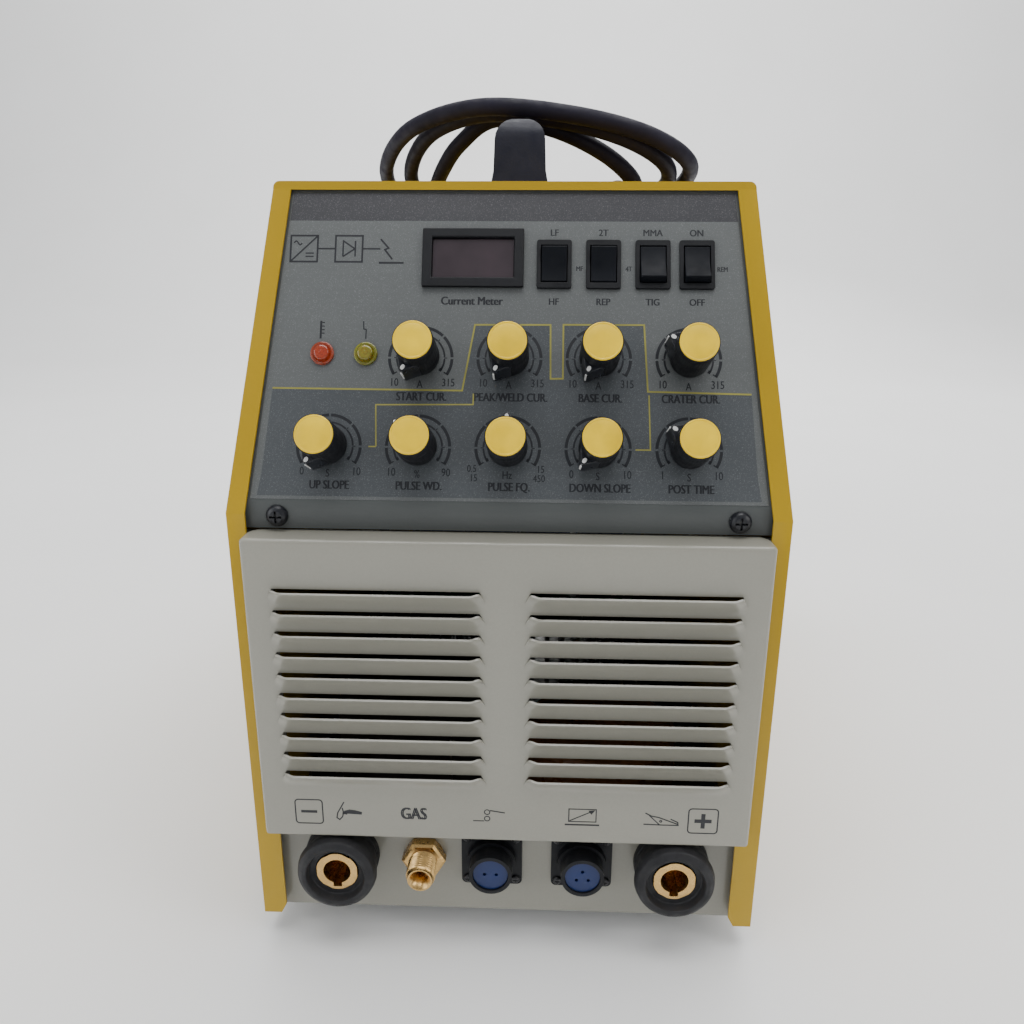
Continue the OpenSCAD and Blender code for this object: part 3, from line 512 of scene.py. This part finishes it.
lathe(gland, [(0, -41.2), (12.3, -41.2), (12.3, -34.7), (11.7, -34.4), (11, -34.3), (11, -31),
              (10.6, -29.4), (9.4, -27), (8.6, -25)]
      + [(8.3 - 0.15 * i - (0.8 if i % 2 else 0), -24.4 + 1.28 * i) for i in range(17)]
      + [(5.7, -2.4), (5.6, 0), (0, 0)], GLAND, 72, six_sided)
gland_piece = finish_mesh("strain_relief", gland, BLACK, replaces=["cable_gland"],
                          smooth=32)

# ---- sheet metal ----
softened("cover", 0.7, YELLOW, segments=3, name="cover_sheet")
softened("front_plate", 0.3, CREAM)
softened("control_panel", 0.35, GREY)
softened("panel_overlay", 0.08, SILVER, segments=1)
softened("rear_panel", 0.3, CREAM)
softened("base_pan", 0.3, STEEL)

# Louvred front: one sheet, cut and pressed out below each cut, with rounded bends. All in mm.
LOW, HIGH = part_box("louver_panel")
FRONT_Y = CASE_FRONT - 9.0
HALF_X = HIGH.x / MM
BACK_Y = HIGH.y / MM
LOUVRES, PITCH, TOP_CUT = 10, 9.95, 191.4
CUT_HALF, CUT_MIDDLE = 44.5, 55.4              # half a cut's length, its middle from the centre
FLARE, FLANK = 2.7, 5.0                        # a hood widens by FLARE over its first FLANK
HOOD_OUT, HOOD_H, SHEET = 4.1, 8.4, 0.9        # how far a hood stands out, its height, thickness
RAMP, LIP = 4.4, 0.72                          # length of a hood's end, share that rises at once
DROPS = (0, 0.7, 1.5, 2.6, 3.8, 5.0, 6.1, 7.2, 8.4)     # rows of a hood, below its cut
NEAR = (0, 0.5, 1.1, 1.9, 3.0, 4.4, 6.4)       # columns of a hood, inside its flank
EDGE_SIDE, EDGE_TOP, EDGE_FOOT = 5, 6, 12      # plain strips that frame the cuts
RETURN_Y = CASE_FRONT - 0.6                    # where the side returns end
FOLD_R, SHARP_FOLD = 1.7, 1.2                  # bend radius; angle in radians that counts as a fold
SAME = 0.01                                    # two places count as one


def hood_height(inward, drop):
    """How far the hood stands out, from the distance inside its flank and below its cut."""
    if drop >= HOOD_H:
        return 0.0
    v = drop / HOOD_H
    lip = LIP * max(0.0, 1 - drop / FLANK)
    t = min(inward / RAMP, 1)
    return HOOD_OUT * (1 - v) ** 2 * (1 + v) * (lip + (1 - lip) * t * t * (3 - 2 * t))


def flank_at(drop):
    return CUT_HALF + FLARE * min(drop / FLANK, 1)


sheet = bmesh.new()
verts = {}
z_low, z_high = LOW.z / MM, HIGH.z / MM
rows = [("plain", z_high, 0.0), ("plain", z_high - EDGE_TOP, 0.0)]
for k in range(LOUVRES):
    rows += [("hood", TOP_CUT - PITCH * k - d, d) for d in DROPS]
rows += [("plain", z_low + EDGE_FOOT, 0.0), ("plain", z_low, 0.0)]
# A hood's columns run in from its left flank, through its middle and out to its right one.
hood_columns = [(n, -1) for n in NEAR] + [(CUT_HALF, 0)] + [(n, 1) for n in reversed(NEAR)]
across = ([("out", -HALF_X), ("out", -HALF_X + EDGE_SIDE)]
          + [("in", side, inward, hand) for side in (-1, 1) for inward, hand in hood_columns]
          + [("out", HALF_X - EDGE_SIDE), ("out", HALF_X)])


def column_x(col, drop):
    if col[0] == "out":
        return col[1]
    _, side, inward, hand = col
    w = flank_at(drop)
    return side * CUT_MIDDLE + (0 if hand == 0 else hand * (w - inward))


def sheet_vert(i, j, pressed):
    """The sheet's vertex at a row and column; a cut's edge has one pressed out and one flat."""
    kind, z, drop = rows[i]
    col = across[j]
    h = 0.0
    if pressed and kind == "hood" and col[0] == "in":
        _, _, inward, hand = col
        h = hood_height(flank_at(drop) if hand == 0 else inward, drop)
    key = (i, j, h > 1e-6)
    if key not in verts:
        low = z - 0.5 * h * h / HOOD_H             # the lip swings down as it is pressed out
        verts[key] = sheet.verts.new(Vector((column_x(col, drop), FRONT_Y - h, low)) * MM)
    return verts[key]


for i in range(len(rows) - 1):
    for j in range(len(across) - 1):
        a, b = across[j], across[j + 1]
        pressed = (rows[i][0] == "hood" and rows[i + 1][0] == "hood"
                   and rows[i + 1][2] > rows[i][2] and a[0] == b[0] == "in" and a[1] == b[1])
        sheet.faces.new([sheet_vert(i, j, pressed), sheet_vert(i + 1, j, pressed),
                         sheet_vert(i + 1, j + 1, pressed), sheet_vert(i, j + 1, pressed)])
rim = [e for e in sheet.edges if len(e.link_faces) == 1
       and all(abs(abs(v.co.x) / MM - HALF_X) < SAME or abs(v.co.z / MM - z_high) < SAME
               or abs(v.co.z / MM - z_low) < SAME for v in e.verts)]
grown = bmesh.ops.extrude_edge_only(sheet, edges=rim)["geom"]
for v in (g for g in grown if isinstance(g, bmesh.types.BMVert)):
    upright = abs(abs(v.co.x) / MM - HALF_X) < SAME
    v.co.y = (RETURN_Y if upright else BACK_Y) * MM
bmesh.ops.recalc_face_normals(sheet, faces=sheet.faces)
folds = [e for e in sheet.edges if len(e.link_faces) == 2 and e.calc_face_angle(0) > SHARP_FOLD]
bmesh.ops.bevel(sheet, geom=folds, offset=FOLD_R * MM, segments=4, affect="EDGES", profile=0.5)
louvres = finish_mesh("louvred_front", sheet, CREAM, replaces=["louver_panel"],
                      smooth=50)
if sum((f.normal.y for f in louvres.data.polygons)) > 0:
    louvres.data.flip_normals()
solid = louvres.modifiers.new("sheet", "SOLIDIFY")
solid.thickness = SHEET * MM
solid.offset = -1

# ---- printed panel ----
INK_LOW, INK_HIGH = FOIL - 0.02, FOIL + 0.05
PRINT_HIGH = FOIL + 0.02
# The welding current's course over time, printed as a line across the foil.
WAVE = [(-103, 49.7), (-20.2, 49.3), (-15.3, 78.7), (17.6, 78.9), (17.9, 54.9), (23.2, 55.0),
        (23.2, 79.0), (58.1, 79.1), (59.7, 49.6), (103.8, 48.8)]
fill = bmesh.new()
prism(fill, WAVE + [(106, 12), (107.5, 2.5), (-107.5, 2.5), (-106, 12)], on_panel,
      INK_LOW, PRINT_HIGH)
finish_mesh("lower_print", fill, BLUE_GREY)

# Painted shadow of the cover's top lip: a darker band across the top of the foil, as wide as the
# foil is there.
corners = [v.co - BEND for v in NODES["panel_overlay"].data.vertices]
corners = sorted((p.dot(UP) / MM, p.dot(X) / MM) for p in corners if p.dot(X) > 0.08)
FOOT, HEAD = corners[0], corners[-1]
LIP_SHADOW_LOW, LIP_SHADOW_HIGH = 126.0, HEAD[0] - 0.15


def foil_half(s):
    """Half the width of the painted lip shadow band at height s up the slope."""
    return FOOT[1] + (HEAD[1] - FOOT[1]) * (s - FOOT[0]) / (HEAD[0] - FOOT[0]) - 0.2


lip_shadow = bmesh.new()
prism(lip_shadow, [(side * foil_half(s), s) for side, s in
               ((-1, LIP_SHADOW_LOW), (1, LIP_SHADOW_LOW), (1, LIP_SHADOW_HIGH), (-1, LIP_SHADOW_HIGH))],
      on_panel, INK_LOW, PRINT_HIGH)
finish_mesh("painted_lip_shadow", lip_shadow, LIP_SHADOW)


def panel_line(bm, points, width, closed=False):
    stroke(bm, points, width, on_panel, INK_LOW, INK_HIGH, closed)


yellow = bmesh.new()
panel_line(yellow, WAVE, 0.75)
panel_line(yellow, [(-56.8, 24.3), (-57.5, 42.7), (-15.3, 43.2), (-15.3, 48)], 0.6)
panel_line(yellow, [(-60, 24.3), (-56.8, 24.3)], 0.6)
panel_line(yellow, [(60.2, 48), (60.8, 24.2), (54.5, 24.2)], 0.6)
finish_mesh("waveform_print", yellow, YELLOW_INK)

ink = bmesh.new()
OUTER_RING, INNER_RING = (13.0, 14.3), (10.0, 10.8)     # radii
SCALES = {
    "start_current": ("10", "315", "A", "START CUR."),
    "peak_current": ("10", "315", "A", "PEAK/WELD CUR."),
    "base_current": ("10", "315", "A", "BASE CUR."),
    "crater_current": ("10", "315", "A", "CRATER CUR."),
    "up_slope": ("0", "10", "S", "UP SLOPE"),
    "pulse_width": ("10", "90", "%", "PULSE WD."),
    "pulse_rate": ("0.5", "15", "Hz", "PULSE FQ."),
    "down_slope": ("0", "10", "S", "DOWN SLOPE"),
    "gas_time": ("1", "10", "S", "POST TIME"),
}


def panel_words(text, x, s, size, bold=0.0, narrow=0.78):
    words(ink, text, x, s, size, on_panel, INK_LOW, INK_HIGH, narrow, bold)


def ring_part(x, s, start, end, inner, outer, n=10):
    """Part of a dial's ring; angles run clockwise from straight up."""
    def at(a, r):
        return (x + r * math.sin(math.radians(a)), s + r * math.cos(math.radians(a)))
    steps = [start + (end - start) * i / n for i in range(n + 1)]
    prism(ink, [at(a, outer) for a in steps] + [at(a, inner) for a in reversed(steps)],
          on_panel, INK_LOW, INK_HIGH)


for dial, joint in DIAL.items():
    at = Vector(joint["pos_m"]) - BEND
    x, s = at.x / MM, at.dot(UP) / MM
    upper = s > (MIDDLE_ROW + UPPER_ROW) / 2
    low, high, unit, label = SCALES[dial]
    for a in (-90, -45, 0, 45):
        ring_part(x, s, a + 1.6, a + 43.4, *OUTER_RING)
        ring_part(x, s, a + 2, a + 43, *INNER_RING)
    for sign in (-1, 1):
        for inner, outer in (OUTER_RING, INNER_RING):
            ring_part(x, s, sign * 92, sign * 123, inner, outer)
        ring_part(x, s, sign * 120.5, sign * 123, 12.0, 14.3, 2)
        ring_part(x, s, sign * 117, sign * 125, 9.6, 10.8, 3)
    for a in range(-90, 91, 45):
        ring_part(x, s, a - 1.1, a + 1.1, 10.2, 11.6, 2)
    if dial == "pulse_rate":
        for text, across, down in ((low, -15.2, 9.2), ("15", -14.4, 13.2), (high, 14.2, 9.2),
                                   ("450", 13.6, 13.2)):
            panel_words(text, x + across, s - down, 4.4, 0.1)
    else:
        panel_words(low, x - 11.3, s - 11.1, 5.0, 0.1)
        panel_words(high, x + 12.3, s - 11.1, 5.0, 0.1)
    panel_words(unit, x - 0.1, s - 11.9, 4.8, 0.1)
    panel_words(label, x + 0.8, s - (17.4 if upper else 17.0), 5.3, bold=0.4, narrow=0.76)

panel_words("Current Meter", -17, 89.3, 5.2, bold=0.42, narrow=0.86)
ROCKERS = {"pulse_range": ("LF", "HF", "MF"), "trigger": ("2T", "REP", "4T"),
           "process": ("MMA", "TIG", ""), "remote": ("ON", "OFF", "REM")}
ABOVE_ROCKER, BELOW_ROCKER, BESIDE_ROCKER = 120.6, 89.2, 104.2
for name, (above, below, beside) in ROCKERS.items():
    x = JOINTS[name + "_tip"]["pos_m"][0] / MM
    panel_words(above, x, ABOVE_ROCKER, 4.3, bold=0.26, narrow=0.9)
    panel_words(below, x, BELOW_ROCKER, 4.3, bold=0.26, narrow=0.9)
    if beside:
        panel_words(beside, x + 11.1, BESIDE_ROCKER, 3.2, bold=0.18, narrow=0.78)

# Lamp marks: a thermometer and a spark.
panel_line(ink, [(-82.9, 72), (-82.9, 80)], 0.9)
for i in range(4):
    panel_line(ink, [(-82.4, 74.4 + 1.6 * i), (-81.2, 74.4 + 1.6 * i)], 0.5)
panel_line(ink, [(-64.2, 80), (-64.0, 76.4), (-62.9, 76.2), (-63.0, 72)], 0.5)

# A plain block diagram of the machine: supply, rectifier and arc.
panel_line(ink, [(-98, 107), (-86, 107), (-86, 119), (-98, 119)], 0.8, True)
panel_line(ink, [(-98, 107), (-86, 119)], 0.7)
panel_line(ink, [(-96.6 + i * 0.45, 115.6 + 0.9 * math.sin(i * math.pi / 4))
                 for i in range(9)], 0.6)
for dy in (0, 1.5):
    panel_line(ink, [(-91.3, 109.4 + dy), (-87.6, 109.4 + dy)], 0.6)
panel_line(ink, [(-86, 113), (-78, 113)], 0.7)
panel_line(ink, [(-78, 107), (-66, 107), (-66, 119), (-78, 119)], 0.8, True)
panel_line(ink, [(-74.6, 109.4), (-74.6, 116.6), (-69.4, 113), (-74.6, 109.4)], 0.7)
panel_line(ink, [(-69.2, 109.4), (-69.2, 116.6)], 0.7)
panel_line(ink, [(-66, 113), (-58, 113)], 0.7)
panel_line(ink, [(-58, 117.5), (-54.4, 113.4), (-56, 112.6), (-52.6, 108.2)], 0.8)
panel_line(ink, [(-58.5, 106.6), (-47.5, 106.6)], 0.9)
finish_mesh("panel_print", ink, INK)

# ---- marks on the louvred front ----
marks = bmesh.new()
on_front = facing(FRONT_Y * MM)
MARK_LOW, MARK_HIGH = -0.03, 0.05
CASE_FOOT = 14                                 # marks are placed from the case's lower edge, mm


def mark(points, width=0.55, closed=False):
    stroke(marks, [(x, z + CASE_FOOT) for x, z in points], width, on_front,
           MARK_LOW, MARK_HIGH, closed)


def mark_area(points):
    prism(marks, [(x, z + CASE_FOOT) for x, z in points], on_front, MARK_LOW, MARK_HIGH)


def rounded_box(x0, z0, x1, z1, r):
    return (arc(x1 - r, z1 - r, r, 0, 90) + arc(x0 + r, z1 - r, r, 90, 180)
            + arc(x0 + r, z0 + r, r, 180, 270) + arc(x1 - r, z0 + r, r, 270, 360))


# Minus and plus
mark(rounded_box(-97.3, 59.8, -84.6, 72.6, 1.6), 0.6, True)
mark([(-94.7, 66.2), (-87.2, 66.2)], 1.4)
mark(rounded_box(84.1, 60.1, 97.5, 73.1, 1.6), 0.6, True)
mark([(86.9, 66.6), (94.7, 66.6)], 1.9)
mark([(90.8, 62.7), (90.8, 65.6)], 1.9)
mark([(90.8, 67.6), (90.8, 70.5)], 1.9)
# Torch
mark_area([(-74.6, 65.6), (-66.4, 65.2), (-66.2, 66.6), (-69.5, 67.5), (-72, 67.8),
           (-74.6, 67.0)])
mark([(-74.4, 71.8), (-77.6, 65.9), (-78.1, 63.2), (-76.8, 62.2), (-75.4, 63.9), (-74.9, 66.2),
      (-75.4, 68.6)], 0.6)
mark([(-75.4, 65.9), (-73.2, 65.3)], 0.8)
# Shielding gas
words(marks, "GAS", -42.1, 66.2 + CASE_FOOT, 9.0, on_front, MARK_LOW, MARK_HIGH, 0.72, 0.75)
# Torch switch
mark([(-14.6, 63.6), (-9.5, 63.6)], 0.5)
for c in ((-8.1, 64.9), (-8.1, 68.4)):
    mark([(c[0] + 1.25 * math.cos(i * math.pi / 8), c[1] + 1.25 * math.sin(i * math.pi / 8))
          for i in range(16)], 0.5, True)
mark([(-6.8, 69.3), (0.1, 68.2)], 0.6)
# Remote control
mark([(29.5, 64.6), (42.0, 64.6), (42.0, 71.3), (29.5, 71.3)], 0.5, True)
mark([(27.7, 62.9), (43.6, 62.9)], 0.8)
mark([(29.9, 65.0), (39.6, 70.0)], 0.5)
mark_area([(41.6, 70.9), (38.4, 70.6), (39.8, 68.5)])
# Work clamp
mark([(64.4, 70.2), (67.4, 68.6), (70.6, 68.0), (79.4, 64.6)], 0.6)
mark([(63.8, 64.2), (72.0, 64.0), (79.6, 64.0), (79.4, 65.6), (76.0, 67.3)], 0.6)
mark([(66.2, 69.0), (71.0, 64.2)], 0.5)
mark([(c[0] + 71.6, c[1] + 66.0) for c in arc(0, 0, 0.5, 0, 315, 7)], 0.5, True)
finish_mesh("front_marks", marks, INK)

# ---- dials ----
KNOB_R, KNOB_TOP, GAP = 8.5, 26.0, 2.4        # GAP is left between a knob and the foil
RIBS, RIB_DEPTH = 36, 0.10
POINTER_TOP, POINTER_SHOULDER = 16.6, 8.3
CAP_R = 8.0


def grip_ribs(a, r, h):
    """Fine upright grip ribs on the knob's side."""
    if r < KNOB_R - 0.25 or h < GAP + 1.2 or h > KNOB_TOP - 3:
        return 0
    return -RIB_DEPTH * (1 + math.cos(RIBS * a)) / 2


for dial, joint in DIAL.items():
    body = joint["child"]
    at = Vector(joint["pos_m"])
    low, high = joint["range_deg"]
    pointer = math.radians((low + high) / 2)       # clockwise from straight up
    across_v = X * math.cos(pointer) - UP * math.sin(pointer)
    along_v = X * math.sin(pointer) + UP * math.cos(pointer)
    place = about(at, across_v, along_v, OUT)
    bm = bmesh.new()
    lathe(bm, [(0, GAP), (7.7, GAP)] + arc(7.9, GAP + 0.6, 0.6, -90, 0, 3)
          + [(KNOB_R, GAP + 1.4), (KNOB_R, 12), (KNOB_R - 0.06, 22.6), (KNOB_R - 0.08, 24.9)]
          + arc(KNOB_R - 0.58, 25.1, 0.5, 0, 90, 4)
          + [(7.75, 25.55), (7.7, 25.3), (7.7, 24.7), (0, 24.7)],
          place, 144, grip_ribs)
    shaft = [(0, -9), (2.9, -9), (3, -8.8), (3, GAP + 0.5), (0, GAP + 0.5)]
    lathe(bm, shaft, place, 32)
    finish_mesh(dial + "_knob_body", bm, BLACK, body, [dial + "_knob"])
    fin = bmesh.new()
    prism(fin, [(-6.1, 4.2), (6.1, 4.2), (5.4, 6.4), (3.6, 8.6), (0.95, 12.0), (0.45, 12.35),
                (-0.45, 12.35), (-0.95, 12.0), (-3.6, 8.6), (-5.4, 6.4)], place,
          GAP + 0.2, POINTER_TOP)
    for v in fin.verts:                            # its nose leans back towards the top
        rel = (v.co - at) / MM
        if rel.dot(OUT) > POINTER_TOP - 1.6 and rel.dot(along_v) > POINTER_SHOULDER:
            v.co -= along_v * 0.5 * MM
    piece = finish_mesh(dial + "_pointer", fin, GLOSS_BLACK, body)
    bevel = piece.modifiers.new("edges", "BEVEL")
    bevel.width, bevel.segments, bevel.limit_method = 0.35 * MM, 3, "ANGLE"
    bevel.harden_normals = True
    white = bmesh.new()
    prism(white, [(0.85 * math.cos(math.radians(a)), 10.2 + 1.2 * math.sin(math.radians(a)))
                  for a in range(0, 360, 24)], place,
          POINTER_TOP - 0.2, POINTER_TOP + 0.15)
    prism(white, [(-0.35, 12.05), (0.35, 12.05), (0.35, 12.5), (-0.35, 12.5)], place, 5.5, 13.5)
    finish_mesh(dial + "_pointer_mark", white, WHITE_INK, body)
    top = bmesh.new()
    lathe(top, [(0, 24.6), (7.62, 24.6), (7.62, 25.3), (CAP_R, 25.35)]
          + arc(CAP_R - 0.4, 25.6, 0.4, 0, 90, 5)
          + [(7.35, 26.0), (7.15, 25.9), (6.95, 25.9), (6.7, 25.98), (3, 25.96), (0, 25.95)],
          place, 96)
    finish_mesh(dial + "_cap_disc", top, CAP, body, [dial + "_cap"])
softened("potentiometers", 0.2, STEEL)

# ---- switches, meter and lamps ----
for name in ROCKERS:
    softened(name + "_rocker", 0.4, ROCKER_BLACK, segments=3, sharp=40,
             body=JOINTS[name + "_tip"]["child"])
softened("rocker_frames", 0.45, BLACK, segments=3)
softened("meter_bezel", 0.6, BLACK, segments=3)
softened("meter_window", 0.15, SMOKED)
LAMP_ROW = 65.2
LENS = ([(0, -12), (3.8, -12), (3.8, 0.2), (5.2, FOIL)] + arc(4.6, 1.0, 0.6, 0, 90, 4)
        + [(3.9, 1.45), (3.6, 1.3), (3.45, 1.5), (3.4, 2.4)] + arc(2.6, 2.4, 0.8, 0, 80, 4)
        + [(1.9, 3.35), (1.5, 3.15), (0.8, 3.3), (0, 3.42)])
for lamp, material in (("heat_lamp", ORANGE_LENS), ("power_lamp", GREEN_LENS)):
    low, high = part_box(lamp)
    x = (low.x + high.x) / 2 / MM
    bm = bmesh.new()
    lathe(bm, LENS, lambda a, b, h, x=x: on_panel(x + a, LAMP_ROW + b, h), 64)
    finish_mesh(lamp + "_lens", bm, material, replaces=[lamp])

# ---- sockets, gas outlet and connectors ----
softened("socket_bodies", 0.9, RUBBER, segments=4, sharp=24)
softened("socket_inserts", 0.4, BRASS, segments=3)
softened("connector_shells", 0.5, BLACK, segments=3)
softened("connector_inserts", 0.25, BLUE)

gas_low, gas_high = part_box("gas_outlet")
GAS = about(Vector(((gas_low.x + gas_high.x) / 2, CASE_FRONT * MM, (gas_low.z + gas_high.z) / 2)),
            X, Z, -Y)
nut = bmesh.new()


def hexagon(a, r, h):
    """Makes the nut hexagonal where it is wide."""
    return (r * (math.cos(math.pi / 6) / math.cos((a % (math.pi / 3)) - math.pi / 6) - 1)
            if r > 9.2 and h > -5.8 else 0)


lathe(nut, [(0, -16), (6.9, -16), (6.9, -6), (9.4, -5.9), (10.7, -5.2), (10.7, -0.8), (9.3, 0),
            (7.2, 0), (6.2, 0.3), (6.2, 1.2), (0, 1.2)], GAS, 96, hexagon)
finish_mesh("gas_outlet_nut", nut, BRASS, replaces=["gas_outlet"], smooth=30)
thread = bmesh.new()
TURNS, PITCH_MM, ROUND, ROWS_A_TURN = 7, 1.45, 60, 8
THREAD_R, THREAD_DEPTH, THREAD_FROM = 7.0, 0.85, 0.6
ring_rows = []
for i in range(TURNS * ROWS_A_TURN + 1):
    row = []
    for k in range(ROUND):
        z = THREAD_FROM + i * PITCH_MM / ROWS_A_TURN
        phase = (z / PITCH_MM + k / ROUND) % 1
        r = THREAD_R - THREAD_DEPTH * abs(2 * phase - 1)
        a = 2 * math.pi * k / ROUND
        row.append(thread.verts.new(GAS(r * math.cos(a), r * math.sin(a), z)))
    ring_rows.append(row)
for a_row, b_row in zip(ring_rows, ring_rows[1:]):
    for k in range(ROUND):
        m = (k + 1) % ROUND
        thread.faces.new([a_row[k], a_row[m], b_row[m], b_row[k]])
thread.faces.new(list(reversed(ring_rows[0])))
tip = THREAD_FROM + TURNS * PITCH_MM
# The end of the thread and the cone inside it.
seat = [(6.2, tip + 0.5), (5.9, 12.9), (5.4, 13.0), (5.1, 12.8), (2.0, 9.0), (2.0, 2.0), (0, 2.0)]
last = ring_rows[-1]
for r, h in seat:
    if r == 0:
        point = thread.verts.new(GAS(0, 0, h))
        for k in range(ROUND):
            thread.faces.new([last[k], last[(k + 1) % ROUND], point])
        break
    row = [thread.verts.new(GAS(r * math.cos(2 * math.pi * k / ROUND),
                                r * math.sin(2 * math.pi * k / ROUND), h)) for k in range(ROUND)]
    for k in range(ROUND):
        m = (k + 1) % ROUND
        thread.faces.new([last[k], last[m], row[m], row[k]])
    last = row
finish_mesh("gas_outlet_thread", thread, BRASS, smooth=48)

# ---- handle, fasteners, feet and rear ----
softened("handle", 2.2, HANDLE, segments=4, sharp=22)
softened("panel_screws", 0.25, GLOSS_BLACK, segments=2)
softened("connector_screws", 0.1, DARK_STEEL)
softened("case_screws", 0.2, STEEL)
softened("feet", 0.6, RUBBER, segments=3)
softened("fan_frame", 0.6, BLACK)
softened("fan_rotor", 0.4, BLACK, body="fan")
softened("breaker_body", 0.6, LIGHT_PLASTIC)
softened("breaker_lever", 0.8, GLOSS_BLACK, segments=3, body="breaker_handle")
softened("gas_valve", 0.3, BRASS)
for node, material in (("fan_guard", WIRE), ("gas_hose", RUBBER), ("heatsink", ALUMINIUM),
                       ("inverter_board", BOARD), ("control_board", BOARD),
                       ("capacitors", SLEEVE), ("main_transformer", FERRITE),
                       ("output_reactor", WINDING)):
    NODES[node].data.materials.clear()
    NODES[node].data.materials.append(material)

# ---- floor and light ----
SWEEP_R, FLOOR_BACK = 1.2, 1.6                 # the floor rises to a backdrop in one curve, metres
floor_paint = Shader("floor", rough=0.7)
floor_paint.colour(floor_paint.mix(floor_paint.spread(floor_paint.noise(3, detail=4), 0, 1),
                                   (0.90, 0.90, 0.89), (0.93, 0.93, 0.925)))
bm = bmesh.new()
profile = ([(-4.0, 0.0)] + [(FLOOR_BACK + y, z) for y, z in arc(0, SWEEP_R, SWEEP_R, -90, 0, 9)]
           + [(FLOOR_BACK + SWEEP_R, 5.0)])
sides = [[bm.verts.new((x, y, z)) for y, z in profile] for x in (-5, 5)]
for i in range(len(profile) - 1):
    bm.faces.new([sides[0][i], sides[1][i], sides[1][i + 1], sides[0][i + 1]])
mesh = bpy.data.meshes.new("floor")
for f in bm.faces:
    f.smooth = True
bm.to_mesh(mesh)
bm.free()
mesh.materials.append(floor_paint.material)
floor = bpy.data.objects.new("floor", mesh)
bpy.context.scene.collection.objects.link(floor)


def area_light(name, at, towards, size, power, colour=(1, 1, 1)):
    data = bpy.data.lights.new(name, "AREA")
    data.shape = "RECTANGLE"
    data.size, data.size_y = size
    data.energy = power
    data.color = colour
    lamp = bpy.data.objects.new(name, data)
    bpy.context.scene.collection.objects.link(lamp)
    lamp.location = at
    lamp.rotation_mode = "QUATERNION"
    lamp.rotation_quaternion = (Vector(towards) - Vector(at)).to_track_quat("-Z", "Y")


area_light("overhead", (0.1, -0.5, 1.9), (0, 0, 0.2), (1.6, 1.0), 24)
area_light("left_fill", (-1.7, -1.2, 0.9), (0, 0, 0.2), (1.2, 1.4), 12, (0.96, 0.98, 1.0))
area_light("right_fill", (1.6, -0.9, 1.1), (0, 0, 0.25), (0.8, 1.2), 9, (1.0, 0.98, 0.95))
area_light("backdrop", (0, 0.9, 2.4), (0, 2.2, 0.8), (3.0, 0.8), 70)
area_light("behind", (0.8, 1.9, 1.2), (0, 0.1, 0.2), (1.2, 1.0), 10)
world = bpy.data.worlds.new("studio")
world.use_nodes = True
world.node_tree.nodes["Background"].inputs["Color"].default_value = (0.95, 0.97, 1.0, 1)
world.node_tree.nodes["Background"].inputs["Strength"].default_value = 0.45
bpy.context.scene.world = world
